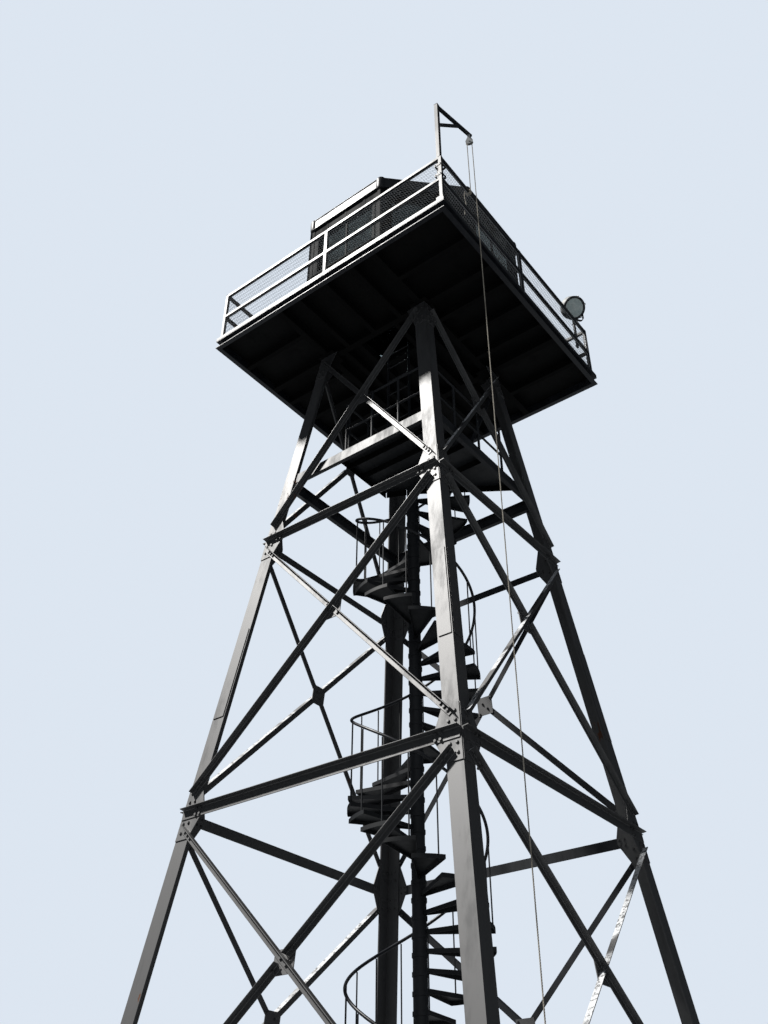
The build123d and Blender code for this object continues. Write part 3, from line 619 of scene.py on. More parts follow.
# %% Route of the hoist rope
rope_d = 0.014
mast_line = 2.166
sheave_pitch_r, sheave_z, sheave_reach = 0.04, 16.1, 0.739
rope_foot_z, tie_top_z = 2.9, 14.845
arm_turn, sheave_turn = radians(80), radians(24)
arm_along = Vector((cos(arm_turn), sin(arm_turn), 0))
sheave = Vector((mast_line, -mast_line, sheave_z)) + sheave_reach * arm_along
sheave_along = Vector((cos(sheave_turn), sin(sheave_turn), 0))
sheave_side = Vector((-sin(sheave_turn), cos(sheave_turn), 0))


def rope_point(side, z):
    """A point of the rope's plumb line: side 1 is the falling part, -1 the tied one."""
    flat = sheave + side * sheave_pitch_r * sheave_along
    return Vector((flat.x, flat.y, z))


corner_z = sheave_z + sheave_pitch_r
near = 6 * rope_d
rope_route = [rope_point(-1, z) for z in (tie_top_z, corner_z - near, corner_z)]
rope_route += [
    rope_point(1, z) for z in (corner_z, corner_z - near, rope_foot_z + near, rope_foot_z)
]
rope_line_mesh = curve_mesh("NURBS", [rope_route], resolution_u=16)
rope_line = [v.co.copy() for v in rope_line_mesh.vertices]
rope_length = sum((b - a).length for a, b in zip(rope_line, rope_line[1:]))
print("rope", len(rope_line), "points,", round(rope_length, 3), "m")

# %% [markdown]
# The rope is laid from three strands. Each strand winds round the smooth line that was read
# from the spline above, so the rope has the right length and really twists. A frame along the
# line comes cheaply here, because the whole line lies in the upright plane of the pulley wheel.

# %% Hoist rope
strand_r, strand_out = 0.0041, 0.0035
lay, steps_per_lay = 0.07, 7


def even_steps(line, step):
    """Points at even steps along a line of points."""
    out, left = [line[0]], step
    for a, b in zip(line, line[1:]):
        length, done = (b - a).length, 0.0
        while length - done >= left:
            done += left
            out.append(a.lerp(b, done / length))
            left = step
        left -= length - done
    return out


def strand(line, third):
    """One of three helices round a line that lies in the plane square to sheave_side."""
    helix, gone = [], 0.0
    for i, point in enumerate(line):
        tangent = (line[min(i + 1, len(line) - 1)] - line[max(i - 1, 0)]).normalized()
        if i:
            gone += (point - line[i - 1]).length
        angle = 2 * pi * (gone / lay + third / 3)
        out = cos(angle) * sheave_side + sin(angle) * tangent.cross(sheave_side)
        helix.append(point + strand_out * out)
    return helix


rope_steps = even_steps(rope_line, lay / steps_per_lay)
bm = bmesh.new()
tube(bm, [strand(rope_steps, third) for third in range(3)], strand_r)
rope = piece("hoist_rope_strands", bm, rope_fibre, smooth=True)
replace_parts(rope, "hoist_rope")
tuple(rope_line[0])

# %% [markdown]
# The rope's upper end is made fast with turns round the top rail. Each turn lies against the
# square tube and bends over its corners. One turn is drawn as the outline of a rounded square
# and the others are moved along the rail, each at a slightly different slant. The loose end
# hangs down inside and has a knot in it.

# %% Rope turns on the rail
post_line, post_half = 2.221, 0.025
floor_z, mid_rail_z, top_rail_z = 13.7, 14.286, 14.806
slants = (0.003, -0.002, 0.0025, -0.0015)
turn_pitch, corner_ease, turn_slack = 0.98 * rope_d, 0.86, 1.08


def rail_turn(y, slant):
    """One turn of rope round the rail: a square path with its corners rounded."""
    reach = post_half + rope_d / 2
    path = []
    for i in range(32):
        angle = 2 * pi * i / 32
        x, z = cos(angle), sin(angle)
        stretch = reach * turn_slack / max(abs(x), abs(z)) ** corner_ease
        path.append(Vector((post_line + x * stretch, y + slant * x, top_rail_z + z * stretch)))
    return path


tie_y = rope_line[0].y
first_y = tie_y - (len(slants) - 1) / 2 * turn_pitch
bm = bmesh.new()
turns = [rail_turn(first_y + i * turn_pitch, slant) for i, slant in enumerate(slants)]
tube(bm, turns, rope_d / 2, cyclic=True)
tie = piece("rope_turns", bm, rope_fibre, smooth=True)
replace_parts(tie, "rope_tie")

tail_x, tail_y = post_line - post_half - rope_d, tie_y - 0.045
tail = [
    Vector((tail_x - 0.012 * sin(i * 0.55), tail_y - 0.002 * i, top_rail_z + 0.02 - 0.04 * i))
    for i in range(16)
]
knot = [(0.001, -0.02), (0.013, -0.012), (0.015, 0.0), (0.013, 0.012), (0.001, 0.02)]
bm = bmesh.new()
tube(bm, [tail], rope_d / 2)
lathe(bm, knot, move(*tail[9]), steps=12)
piece("rope_tail", bm, rope_fibre, smooth=True)

# %% [markdown]
# The railing is filled with chain-link fabric: each wire zigzags from bottom to top and hooks
# round its neighbour at every bend, which leaves diamonds. One wire is drawn as a curve with a
# little depth, so that it passes in front of one neighbour and behind the other. It is then
# copied along one field of the railing, and the field is copied to the others.

# %% Chain-link mesh
diamond_w, diamond_h, wire_r = 0.080, 0.088, 0.0021
rows = ((floor_z + 0.012, mid_rail_z - post_half), (mid_rail_z + post_half, top_rail_z - 0.041))
bays = ((-post_line + post_half, -post_half), (post_half, post_line - post_half))
fields = [(*row, *bay) for row in rows for bay in bays]


def zigzag(low, high):
    """One chain-link wire between two heights."""
    count = round((high - low) / (diamond_h / 2))
    points = []
    for i in range(count + 1):
        side = 1 if i % 2 else -1
        z = low + i * (high - low) / count
        points.append(Vector((side * diamond_w / 4, -post_line + side * wire_r, z)))
    return points


bm = bmesh.new()
for low, high, x0, x1 in fields:
    count = round((x1 - x0) / (diamond_w / 2))
    step = (x1 - x0) / count
    wire = tube(bm, [zigzag(low, high)], wire_r)
    copies(bm, wire, [move(x0 + (i + 0.5) * step, 0, 0) for i in range(count)])
spread(bm, quarters)
mesh_piece = piece("chain_link", bm, zinc, smooth=True)
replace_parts(mesh_piece, "railing_mesh")

# %% [markdown]
# A thin wire frame holds the fabric: tension wires run along the top and bottom of each field,
# and a flat bar clamps its ends to the posts.

# %% Tension wires and clamping bars
clamp_w, clamp_t, clamp_y = 0.012, 0.006, -post_line - 0.004

bm = bmesh.new()
for low, high, x0, x1 in fields:
    for z in (low + 0.006, high - 0.006):
        rod(bm, (x0, -post_line, z), (x1, -post_line, z), 0.0025, 6)
    for x in (x0, x1 - clamp_w):
        block(bm, (x, clamp_y - clamp_t, low), (x + clamp_w, clamp_y, high), 0.0015, 1)
spread(bm, quarters)
piece("mesh_tension", bm, zinc)

# %% [markdown]
# The posts stand on foot plates that are bolted through the deck, and each has a low pyramid
# cap where it meets the top rail. The davit's mast stands in a square socket beside its post.

# %% Post feet and caps
foot_half, foot_t, screw_inset = 0.055, 0.009, 0.04
cap_r, cap_top_r, cap_h = 0.04, 0.012, 0.022
socket_w, socket_h = 0.046, 0.15

bm = bmesh.new()
block(bm, (-foot_half, -foot_half, 0), (foot_half, foot_half, foot_t), 0.002)
copies(bm, stack(bm, (foot_t, 0.018, 0.0095, 6)), corners(screw_inset))
cap = rod(bm, (0, 0, 0), (0, 0, cap_h), cap_r, 4, cap_top_r)
cap_foot_z = top_rail_z + post_half - floor_z
settle(bm, cap, move(0, 0, cap_foot_z) @ spun(45))
spread(bm, [move(x, -post_line, floor_z) for x in (-post_line, 0)])
spread(bm, quarters)
block(
    bm,
    (post_line - socket_w - 0.03, -post_line - socket_w, floor_z + foot_t),
    (post_line + socket_w, -post_line + socket_w, floor_z + socket_h),
    0.004,
)
piece("post_feet_and_caps", bm, rail_paint)

# %% [markdown]
# The bracing is made of rolled steel angles. Each bar has one flange flat on the gusset plates
# and the other one standing outwards along its upper edge. Where two diagonals cross, one runs
# through and the other is cut, and a plate joins the halves. The root between the flanges is
# filleted and their toes are rounded, as the mill rolls them.

# %% Angle bars of the bracing
underside_z, leg_half_top, batter = 13.54, 1.038, 0.1212
slope = sqrt(1 + batter * batter)
leg_t, plate_t, brace_t = 0.019, 0.010, 0.010
panel_z = (1.5, 5.78, 9.77)
top_point_z = 13.33
brace_inset, brace_end_gap = 0.095, 0.21
struts = ((panel_z[1] - 0.025, 0.127), (panel_z[2] - 0.05, 0.102))
bar_w, cut_gap, root_r, toe_r = 0.076, 0.012, 0.008, 0.003
outward = Vector((0, -1, batter)).normalized()
upward = Vector((0, batter, 1)).normalized()
upright = Matrix(((0, 0, 1), (1, 0, 0), (0, 1, 0))).to_4x4()


def half_width(z):
    """Distance from the tower's axis to the legs' outer faces at a height."""
    return leg_half_top + batter * (underside_z - z)


def face_matrix(x, z, out):
    """A place on the front face: X across, Y up the slope, Z outwards."""
    spot = Vector((x, -half_width(z), z)) + outward * out
    axes = Matrix((Vector((1, 0, 0)), upward, outward)).transposed().to_4x4()
    return Matrix.Translation(spot) @ axes


def towards(a, b, distance):
    """The point a distance from a towards b, on a face."""
    dx, dz = b[0] - a[0], b[1] - a[1]
    share = distance / hypot(dx, dz)
    return (a[0] + share * dx, a[1] + share * dz)


def angle_bar(bm, start, end, flange):
    """A rolled angle on the front face between two points, its other flange on the upper edge."""
    run, rise = end[0] - start[0], (end[1] - start[1]) * slope
    low, high, inner = -flange / 2, flange / 2, flange / 2 - brace_t
    root = [radians(a) for a in (0, -30, -60, -90)]
    profile = [
        (low + toe_r, 0), (high, 0), (high, bar_w - toe_r), (high - toe_r, bar_w),
        (inner + toe_r, bar_w), (inner, bar_w - toe_r),
        *((inner + (cos(a) - 1) * root_r, brace_t + (sin(a) + 1) * root_r) for a in root),
        (low + toe_r, brace_t), (low, brace_t - toe_r), (low, toe_r),
    ]
    lengthwise = spun(degrees(atan2(rise, run))) @ upright
    plate(bm, profile, face_matrix(*start, plate_t) @ lengthwise, hypot(run, rise))


bars, crosses = [], []
for low, high, falls_right in (
    (panel_z[0] + brace_end_gap, panel_z[1] - brace_end_gap, True),
    (panel_z[1] + brace_end_gap, panel_z[2] - brace_end_gap, False),
    (panel_z[2] + brace_end_gap, top_point_z, False),
):
    low_x, high_x = half_width(low) - brace_inset, half_width(high) - brace_inset
    falling, rising = [(-high_x, high), (low_x, low)], [(-low_x, low), (high_x, high)]
    through, cut = (falling, rising) if falls_right else (rising, falling)
    centre = (0.0, low + low_x / (low_x + high_x) * (high - low))
    crosses.append((through, cut, centre))
    turn = 2 * atan2(high - low, high_x + low_x)
    clear = bar_w / 2 * (1 + abs(cos(turn))) / abs(sin(turn)) + cut_gap
    bars.append((*through, bar_w))
    bars.append((cut[0], towards(centre, cut[0], clear), bar_w))
    bars.append((towards(centre, cut[1], clear), cut[1], bar_w))
for z, depth in struts:
    x = half_width(z + depth / 2)
    bars.append(((-x, z), (x, z), depth))

for turn, (side, finish) in zip(quarters, (
    ("front", brace_paint), ("right", flakes_and_glare_paint), ("back", black_paint), ("left", flakes_and_glare_paint)
)):
    bm = bmesh.new()
    for bar in bars:
        angle_bar(bm, *bar)
    settle(bm, bm.verts, turn)
    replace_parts(piece(f"{side}_bars", bm, finish), f"{side}_bracing")

# %% [markdown]
# The lattice is bolted together. A bolt is a hexagon head on a washer, with the nut and a bit
# of thread on the other side. Its place is given on the face that it goes through: a distance
# across, a height, and a layer outwards, in the same values as the CAD model's faces. One bolt
# is drawn and copied to its places, and the finished face is turned to the other three.

# %% Bolts of the lattice
head_r, head_h, washer_r, washer_h = 0.017, 0.013, 0.022, 0.003
thread_r, thread_h = 0.009, 0.008
strut_bolt_halves = (0.035, 0.022)
leg_rows = {panel_z[0]: (0.02, 0.12, 0.22), panel_z[1]: (-0.24, -0.13, 0.13, 0.24)}

leg_bolts, brace_bolts = [], []
for side in (-1, 1):
    for z in (*panel_z, top_point_z - 0.07):
        for dz in leg_rows.get(z, (-0.23, -0.12, 0.1)):
            for inset in (0.055, 0.14):
                leg_bolts.append((side * (half_width(z + dz) - inset), z + dz))
    for (z, _), half_depth in zip(struts, strut_bolt_halves):
        for inset in (0.235, 0.3):
            for dz in (-half_depth, half_depth):
                brace_bolts.append((side * (half_width(z) - inset), z + dz))
for through, cut, centre in crosses:
    for ends, near in ((through, 0.055), (cut, 0.14)):
        for end in ends:
            brace_bolts += [towards(end, centre, distance) for distance in (0.06, 0.13, 0.2)]
            brace_bolts.append(towards(centre, end, near))

bm = bmesh.new()
for spots, out, grip in (
    (leg_bolts, plate_t, plate_t + leg_t),
    (brace_bolts, plate_t + brace_t, plate_t + brace_t),
):
    nut_low = -grip - head_h
    bolt = stack(
        bm,
        (0, washer_h, washer_r, 10),
        (washer_h, washer_h + head_h, head_r, 6),
        (-grip, nut_low, head_r, 6),
        (nut_low, nut_low - thread_h, thread_r, 6),
    )
    copies(bm, bolt, [face_matrix(x, z, out) for x, z in spots])
spread(bm, quarters)
piece("lattice_bolts", bm, leg_paint)

# %% [markdown]
# Each leg stands on a base plate with four anchor bolts that are cast into the pier, each with
# a washer and two nuts. The plate is bedded on a thin collar of grout.

# %% Anchor bolts and grout
pier_top_z, base_t, base_half, grout_edge = 0.9, 0.025, 0.21, 0.03
leg_flange = 0.203
base_top_z = pier_top_z + base_t
foot_centre = half_width(base_top_z) - leg_flange / 2
anchor_inset = 0.165

bm = bmesh.new()
stack(bm, (0, 0.07, 0.013, 12), (0, 0.004, 0.032, 14))
stack(bm, (0.004, 0.026, 0.0245, 6), (0.0265, 0.0445, 0.0245, 6))
spread(bm, corners(anchor_inset))
settle(bm, bm.verts, move(foot_centre, -foot_centre, base_top_z))
spread(bm, quarters)
piece("anchor_bolts", bm, forged)

bm = bmesh.new()
reach = base_half + grout_edge
low = (foot_centre - reach, -foot_centre - reach, pier_top_z - 0.002)
block(bm, low, (foot_centre + reach, -foot_centre + reach, pier_top_z + 0.014), 0.01)
spread(bm, quarters)
piece("pier_grout", bm, concrete)

# %% [markdown]
# The foot of each leg is stiffened by two small triangular plates on each flange, welded to the
# leg and to the base plate. Their upper corner leans inward with the leg.

# %% Stiffeners at the feet
heel = half_width(base_top_z)
stiff_t, stiff_h, stiff_w = 0.012, 0.16, 0.12
outline = [(0, 0), (-stiff_w, 0), (batter * stiff_h, stiff_h)]
swapped = Matrix(((0, -1, 0), (-1, 0, 0), (0, 0, 1))).to_4x4()

bm = bmesh.new()
for x in (heel - 0.05, heel - 0.15):
    plate(bm, outline, move(x, -heel, base_top_z) @ upright, stiff_t)
spread(bm, [Matrix.Identity(4), swapped])
spread(bm, quarters)
piece("foot_stiffeners", bm, leg_paint)

# %% [markdown]
# The cabin's eight sides are alike, so each of its details is drawn once on the front side and
# turned by eighths. Seven sides have a window: a flat casing on both faces of the wall, a sash
# round the glass with a bar down its middle, and a sill that throws the rain clear. The back
# side is left out, because the door is there.

# %% Window frames
wall_apothem, wall_t, roof_apothem = 1.786, 0.09, 1.811
roof_edge_z, roof_rise, fascia_low_z = 16.07, 0.28, 15.835
octagon = tan(radians(22.5))
window_half, sill_z, head_z = 0.58, 14.6, 15.58
casing_w, casing_t, sash_w, sash_half_t = 0.055, 0.012, 0.034, 0.018
sill_edge, sill_drop = 0.02, 0.02
wall_y, inside_y, glass_y = -wall_apothem, -wall_apothem + wall_t, -wall_apothem + wall_t / 2
back = eighths[4]
windows = [turn for turn in eighths if turn is not back]


def ring_of_bars(bm, x, low, high, w, y0, y1, soft):
    """Four bars round an opening of half width x between two heights."""
    for x0, x1 in ((-x - w, -x), (x, x + w)):
        block(bm, (x0, y0, low - w), (x1, y1, high + w), soft)
    for z0 in (low - w, high):
        block(bm, (-x, y0, z0), (x, y1, z0 + w), soft)


bm = bmesh.new()
for y0, y1 in ((wall_y - casing_t, wall_y), (inside_y, inside_y + casing_t)):
    ring_of_bars(bm, window_half, sill_z, head_z, casing_w, y0, y1, 0.003)
inner = (window_half - sash_w, sill_z + sash_w, head_z - sash_w)
ring_of_bars(bm, *inner, sash_w, glass_y - sash_half_t, glass_y + sash_half_t, 0.004)
block(bm, (-0.017, glass_y - 0.016, inner[1]), (0.017, glass_y + 0.016, inner[2]), 0.004)
sill_low = sill_z - casing_w - sill_drop
slope_out = [(0, 0), (0.07, -0.012), (0.07, -0.03), (0, -0.03)]
outwards = Matrix(((0, 0, 1), (-1, 0, 0), (0, 1, 0))).to_4x4()
sill_half = window_half + casing_w + sill_edge
plate(bm, slope_out, move(-sill_half, wall_y, sill_low + 0.03) @ outwards, 2 * sill_half)
spread(bm, windows)
piece("window_frames", bm, wall_paint)

# %% [markdown]
# The walls are sheet panels with flat cover strips over their joints, a skirting that keeps
# rain out at the foot, and a bent strip over each corner. The strips stop short of the fascia
# and of the window casings.

# %% Cover strips of the walls
strip_t, strip_half, corner_strip_w = 0.005, 0.0225, 0.055
foot_z, skirting_top_z, strip_low_z = 13.703, 13.82, 13.83
side_half = wall_apothem * octagon
door_half, door_gap = 0.385, 0.07


def wall_block(bm, x0, x1, low, high, out, soft=0.002):
    """A flat strip on the front wall's outer face."""
    return block(bm, (x0, wall_y - out, low), (x1, wall_y, high), soft, 1)


def skirting(bm, x0, x1):
    """A board along the foot of the front wall."""
    return wall_block(bm, x0, x1, foot_z, skirting_top_z, 0.008)


bm = bmesh.new()
for x in (-0.4, 0, 0.4):
    for low, high in ((strip_low_z, sill_low), (head_z + casing_w, fascia_low_z)):
        wall_block(bm, x - strip_half, x + strip_half, low, high, strip_t, 0.0015)
skirting(bm, -side_half, side_half)
spread(bm, windows)
bent = []
for x in (side_half - corner_strip_w, -side_half):
    bent += wall_block(bm, x, x + corner_strip_w, foot_z, fascia_low_z, 0.0085)
copies(bm, bent, eighths)
for x0, x1 in ((-side_half, -door_half - door_gap), (door_half + door_gap, side_half)):
    settle(bm, skirting(bm, x0, x1), back)
piece("wall_strips", bm, wall_paint)

# %% [markdown]
# The door is a pressed steel leaf in a frame. It gets a casing, two raised panels, a kick
# plate, three hinges and a lever handle on its plate. It is drawn on the front side like the
# windows and turned half round to the back.

# %% Door
door_low, door_high = 13.72, 15.68
casing_top_z = door_high + 0.065
hinge_heights, handle_z, lock_z = (13.95, 14.7, 15.45), 14.8, 14.7
to_back = back @ move(0, wall_y, 0)

bm = bmesh.new()
for low, high, soft, segments in (
    ((-door_half - 0.062, -0.014, foot_z), (-door_half - 0.002, 0, casing_top_z), 0.003, 2),
    ((door_half + 0.002, -0.014, foot_z), (door_half + 0.062, 0, casing_top_z), 0.003, 2),
    ((-door_half, -0.014, door_high + 0.007), (door_half, 0, casing_top_z), 0.003, 2),
    ((-door_half, -0.03, foot_z - 0.001), (door_half, 0.03, foot_z + 0.016), 0.003, 2),
    ((-0.27, -0.006, 13.98), (0.27, 0, 14.62), 0.005, 3),
    ((-0.27, -0.006, 14.8), (0.27, 0, 15.5), 0.005, 3),
    ((-0.36, -0.003, door_low + 0.01), (0.36, 0, door_low + 0.2), 0.001, 1),
):
    block(bm, low, high, soft, segments)
for z in hinge_heights:
    rod(bm, (-door_half, -0.008, z - 0.05), (-door_half, -0.008, z + 0.05), 0.008)
settle(bm, bm.verts, to_back)
piece("door_fittings", bm, wall_paint)

bm = bmesh.new()
block(bm, (0.3, -0.006, lock_z - 0.04), (0.345, 0, handle_z + 0.06), 0.002)
rod(bm, (0.322, -0.006, handle_z), (0.322, -0.05, handle_z), 0.009)
rod(bm, (0.328, -0.045, handle_z), (0.21, -0.045, handle_z), 0.009)
rod(bm, (0.322, -0.006, lock_z), (0.322, -0.012, lock_z), 0.011)
settle(bm, bm.verts, to_back)
piece("door_handle", bm, zinc, smooth=True)

# %% [markdown]
# The roof's eight sloping sheets meet under hip cappings, and each carries one standing seam.
# A rolled bead stiffens both edges of the fascia, and where two fascia boards meet, a rounded
# boot with a low dome closes the corner. A flat cone covers the point where all sheets meet.

# %% Roof cappings, beads and corner boots
corner_x = roof_apothem * octagon
apex_z = roof_edge_z + roof_rise
boot_r = 0.088
boot_centre = (roof_apothem - 0.068) / cos(radians(22.5))


def ridge(bm, start, end, half, top, soft=0.002):
    """A flat bar from start to end whose top stands up from the line between them."""
    made = block(bm, (-half, -0.002, 0), (half, top, (end - start).length), soft, 1)
    settle(bm, made, along(start, end))


bm = bmesh.new()
foot, apex = Vector((corner_x, -roof_apothem, roof_edge_z)), Vector((0, 0, apex_z))
hip = (apex - foot).normalized()
ridge(bm, foot + hip * 0.05, apex - hip * 0.17, 0.035, 0.008)
low = Vector((0, -roof_apothem + 0.01, roof_edge_z))
ridge(bm, low, low.lerp(apex, 0.86), 0.008, 0.024)
bead_x = corner_x - 0.03
for z, r in ((roof_edge_z - 0.008, 0.012), (fascia_low_z + 0.008, 0.009)):
    rod(bm, (-bead_x, -roof_apothem, z), (bead_x, -roof_apothem, z), r, 10)
spread(bm, eighths)
cone = [(0.0, -0.0001), (0.02, -0.0003), (0.2, -0.0265), (0.2, -0.032), (0.0, -0.032)]
lathe(bm, cone, move(0, 0, apex_z), 32)
piece("roof_cappings", bm, rail_paint, smooth=True)

bm = bmesh.new()
boot = [
    (0.0, fascia_low_z - 0.012), (boot_r - 0.03, fascia_low_z - 0.01),
    (boot_r - 0.008, fascia_low_z + 0.006), (boot_r, fascia_low_z + 0.035),
    (boot_r, roof_edge_z - 0.02), (boot_r - 0.006, roof_edge_z + 0.015),
    (boot_r - 0.026, roof_edge_z + 0.038), (boot_r - 0.055, roof_edge_z + 0.049),
    (0.0, roof_edge_z + 0.052),
]
lathe(bm, boot, spun(-67.5) @ move(boot_centre, 0, 0), 40)
spread(bm, eighths)
piece("fascia_boots", bm, rail_paint, smooth=True)

# %% [markdown]
# The floodlight is built along its own beam: the matrix below carries a shape from the beam's
# frame, with Z forwards, to the lamp on its yoke. A rolled bezel holds the lens, six clips hold
# the bezel, ribs of the moulded glass run across the lens, and rings cool the tapered back.
# These ride on the lamp, so they tilt and pan with it.

# %% Floodlight: bezel, rings, clips and ribs
lamp_x, lamp_y, pivot_z = 2.172, 1.95, 15.235
lens_seat_r, lamp_half, rib_pitch = 0.163, 0.125, 0.025
facing = move(lamp_x, lamp_y, pivot_z) @ spun(-30)
aimed = facing @ spun(46, "Y")
beam = aimed @ spun(90, "Y")

bm = bmesh.new()
bezel = [
    (0.168, 0.1195), (0.171, 0.128), (0.184, 0.134), (0.199, 0.133), (0.2085, 0.127),
    (0.2085, 0.104), (0.205, 0.104), (0.205, 0.125), (0.181, 0.125), (0.181, 0.1195),
]
lathe(bm, bezel, beam, 64)
piece("lamp_bezel", bm, black_paint, body="lamp", smooth=True)

bm = bmesh.new()
for z, r in ((-0.105, 0.152), (-0.083, 0.168), (-0.061, 0.184), (-0.039, 0.2)):
    root = 0.12 + (z + lamp_half) * 0.81 - 0.01
    lathe(bm, [(root, z), (r, z), (r, z + 0.006), (root, z + 0.006)], beam, 48)
cover = [(0.0, -0.137), (0.085, -0.137), (0.09, -0.132), (0.09, -0.124), (0.0, -0.124)]
lathe(bm, cover, beam, 40)
settle(bm, stack(bm, (-0.13, -0.16, 0.014, 12), (-0.15, -0.172, 0.019, 6)), beam @ move(0.06, 0, 0))
piece("lamp_rings", bm, lamp_paint, body="lamp", smooth=True)

bm = bmesh.new()
block(bm, (0.2085, -0.014, 0.088), (0.2185, 0.014, 0.136), 0.002)
block(bm, (0.188, -0.01, 0.1345), (0.2185, 0.01, 0.1395), 0.0015)
rod(bm, (0.2135, -0.017, 0.094), (0.2135, 0.017, 0.094), 0.0045, 8)
spread(bm, [beam @ spun(a) for a in (0, 55, 125, 180, 235, 305)])
for side, r, sides in ((-1, 0.012, 6), (1, 0.019, 8)):
    settle(bm, rod(bm, (0, side * 0.2295, 0), (0, side * 0.25, 0), r, sides), aimed)
piece("lamp_clips", bm, zinc, body="lamp")

bm = bmesh.new()
for i in range(-6, 7):
    y = i * rib_pitch
    reach = sqrt(lens_seat_r**2 - y * y)
    settle(bm, rod(bm, (-reach, y, 0.1185), (reach, y, 0.1185), 0.0045, 8), beam)
piece("lens_ribs", bm, lens_glass, body="lamp", smooth=True)

# %% [markdown]
# The lamp's pipe is held to the two rails by U-bolts: each one grips the pipe from inside and
# passes through the rail to a saddle plate and two nuts on the outer side.

# %% U-bolts of the lamp bracket
u_r, u_rod, rail_face_x = 0.0295, 0.005, 2.246
saddle_x, tip_x = rail_face_x + 0.004, rail_face_x + 0.016

bm = bmesh.new()
for z in (mid_rail_z, top_rail_z):
    bend = [-pi / 2 - pi * i / 8 for i in range(9)]
    path = [(lamp_x + u_r * cos(a), lamp_y + u_r * sin(a), z) for a in bend]
    tube(bm, [[(tip_x, lamp_y - u_r, z), *path, (tip_x, lamp_y + u_r, z)]], u_rod)
    block(
        bm, (rail_face_x, lamp_y - 0.05, z - 0.02), (saddle_x, lamp_y + 0.05, z + 0.02), 0.001, 1
    )
    for y in (lamp_y - u_r, lamp_y + u_r):
        rod(bm, (saddle_x, y, z), (saddle_x + 0.009, y, z), 0.0095, 6)
piece("lamp_u_bolts", bm, zinc)

# %% [markdown]
# The davit's clamps are closed by bolts on their two outer faces, and its hollow ends are
# capped. The pulley block gets pear-shaped cheek straps that reach from the wheel up to the
# arm, with the axle's nut and a pin through the top.

# %% Davit and pulley fittings
arm_z, arm_reach, mast_top_z, mast_cap_half = 16.31, 0.785, 16.34, 0.033
clamp_heights, clamp_bolt_lines = (14.4, 14.64), (2.148, 2.236)
clamp_face, clamp_bolt_out = 2.252, 0.008

bm = bmesh.new()
for z in clamp_heights:
    for inner in clamp_bolt_lines:
        for x, y in ((0, 1), (1, 0)):
            start = Vector((inner + x * (clamp_face - inner), -inner - y * (clamp_face - inner), z))
            rod(bm, start, start + clamp_bolt_out * Vector((x, -y, 0)), 0.008, 6)
corner = Vector((mast_line, -mast_line, 0))
cap_reach = Vector((mast_cap_half, mast_cap_half, 0))
low, high = corner - cap_reach, corner + cap_reach
block(bm, (*low.xy, mast_top_z), (*high.xy, mast_top_z + 0.006), 0.002)
arm_end = corner + Vector((0, 0, arm_z)) + arm_along * arm_reach
made = block(bm, (-0.027, -0.027, 0), (0.027, 0.027, 0.004), 0.0015, 1)
settle(bm, made, along(arm_end, arm_end + arm_along))
piece("davit_fittings", bm, rail_paint)

bm = bmesh.new()
pear = [(0.062 * cos(radians(a)), 0.062 * sin(radians(a))) for a in range(-200, 21, 20)]
pear += [(0.026, 0.11), (0.024, 0.183), (-0.024, 0.183), (-0.026, 0.11)]
for normal in (sheave_side, -sheave_side):
    across = Vector((0, 0, 1)).cross(normal)
    axes = Matrix((across, Vector((0, 0, 1)), normal)).transposed().to_4x4()
    cheek = Matrix.Translation(sheave + normal * 0.018) @ axes
    plate(bm, pear, cheek, 0.003)
    settle(bm, stack(bm, (0.003, 0.014, 0.016, 6)), cheek)
    settle(bm, stack(bm, (0.003, 0.01, 0.009, 6)), cheek @ move(0, 0.16, 0))
piece("pulley_straps", bm, lamp_paint)

# %% [markdown]
# Where the rope enters the hook's shank it is whipped with thin twine, and a collar closes the
# top of the shank.

# %% Whipping and collar
foot_spot = rope_line[-1]

bm = bmesh.new()
ring = [(0.0062, -0.002), (0.0092, -0.001), (0.0092, 0.001), (0.0062, 0.002)]
for i in range(9):
    lathe(bm, ring, move(foot_spot.x, foot_spot.y, rope_foot_z + 0.006 + i * 0.0042), 12)
piece("rope_whipping", bm, rope_fibre, smooth=True)

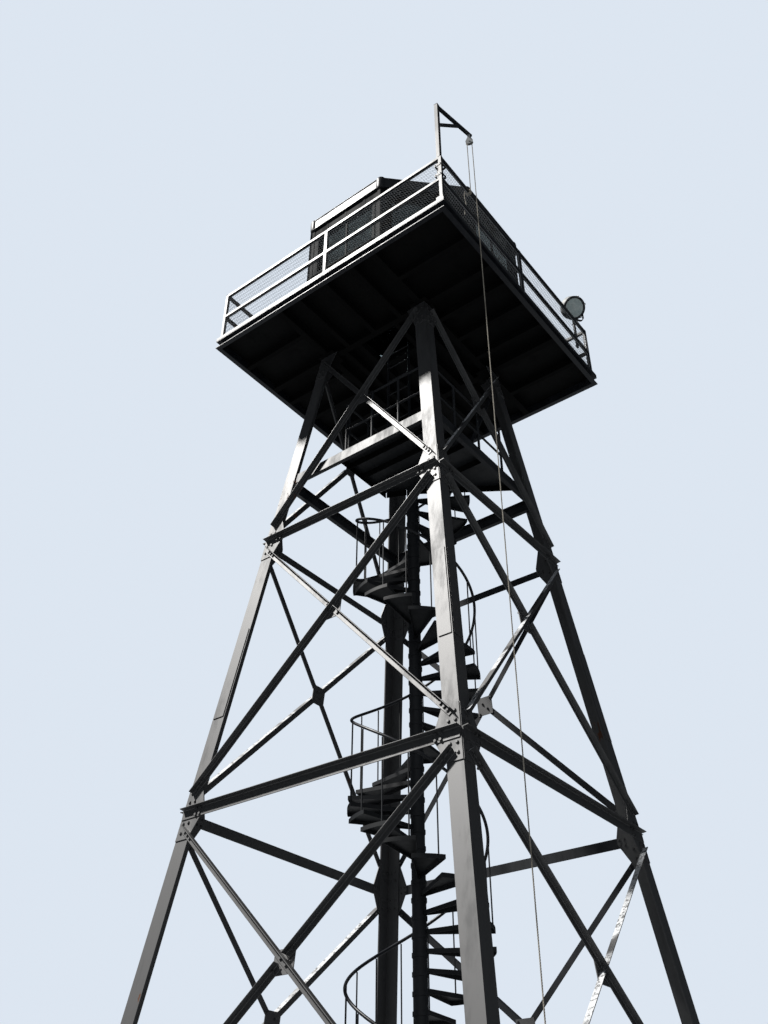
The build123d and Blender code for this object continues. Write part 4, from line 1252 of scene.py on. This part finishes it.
bm = bmesh.new()
collar = [(0.0155, -0.024), (0.019, -0.022), (0.019, -0.008), (0.0155, -0.006)]
lathe(bm, collar, move(*foot_spot), 20)
piece("hook_collar", bm, forged, smooth=True)

# %% [markdown]
# The stair's treads are welded to sleeves that are threaded over the pole, and a shallow dome
# closes the pole. The landing's posts have round feet, and a kick plate runs along each
# guarded edge.

# %% Stair and landing fittings
landing_z, stair_risers = 10.95, 55
rise = landing_z / stair_risers
pole_r, pole_top_z = 0.084, 12.02

bm = bmesh.new()
in_r, out_r = pole_r - 0.001, pole_r + 0.01
sleeve = [(in_r, -0.1), (out_r, -0.098), (out_r, -0.052), (in_r, -0.05)]
for j in range(1, stair_risers):
    lathe(bm, sleeve, move(0, 0, landing_z - j * rise), 24)
dome = [(0.0, -0.02), (0.089, -0.02), (0.089, 0.004), (0.075, 0.016), (0.045, 0.024), (0.0, 0.027)]
lathe(bm, dome, move(0, 0, pole_top_z), 32)
piece("pole_sleeves", bm, black_paint, smooth=True)

guard, guard_left, post_gap = 1.16, -0.355, 0.063
arrival_y = guard * tan(radians(34)) - 0.044
kick_t, kick_out, kick_top_z = 0.004, 0.024, 11.03
runs = [
    ((guard_left, -guard + post_gap), (guard_left, -0.195), (0, 1 / 2, 1)),
    ((guard_left, -guard), (guard - post_gap, -guard), (0, 1 / 3, 2 / 3)),
    ((guard, -guard), (guard, arrival_y), (0, 1 / 3, 2 / 3, 1)),
]
foot_ring = [(0.0195, 0), (0.045, 0), (0.045, 0.006), (0.0195, 0.009)]

bm = bmesh.new()
for start, end, shares in runs:
    for share in shares:
        x, y = (a + share * (b - a) for a, b in zip(start, end))
        lathe(bm, foot_ring, move(x, y, landing_z), 20)
for low, high in (
    ((guard_left - 0.02, -guard - kick_out), (guard + 0.02, -guard - kick_out + kick_t)),
    ((guard + kick_out - kick_t, -guard - 0.02), (guard + kick_out, arrival_y + 0.02)),
):
    block(bm, (*low, landing_z), (*high, kick_top_z), 0.001, 1)
piece("landing_feet_and_kick_plates", bm, black_paint)
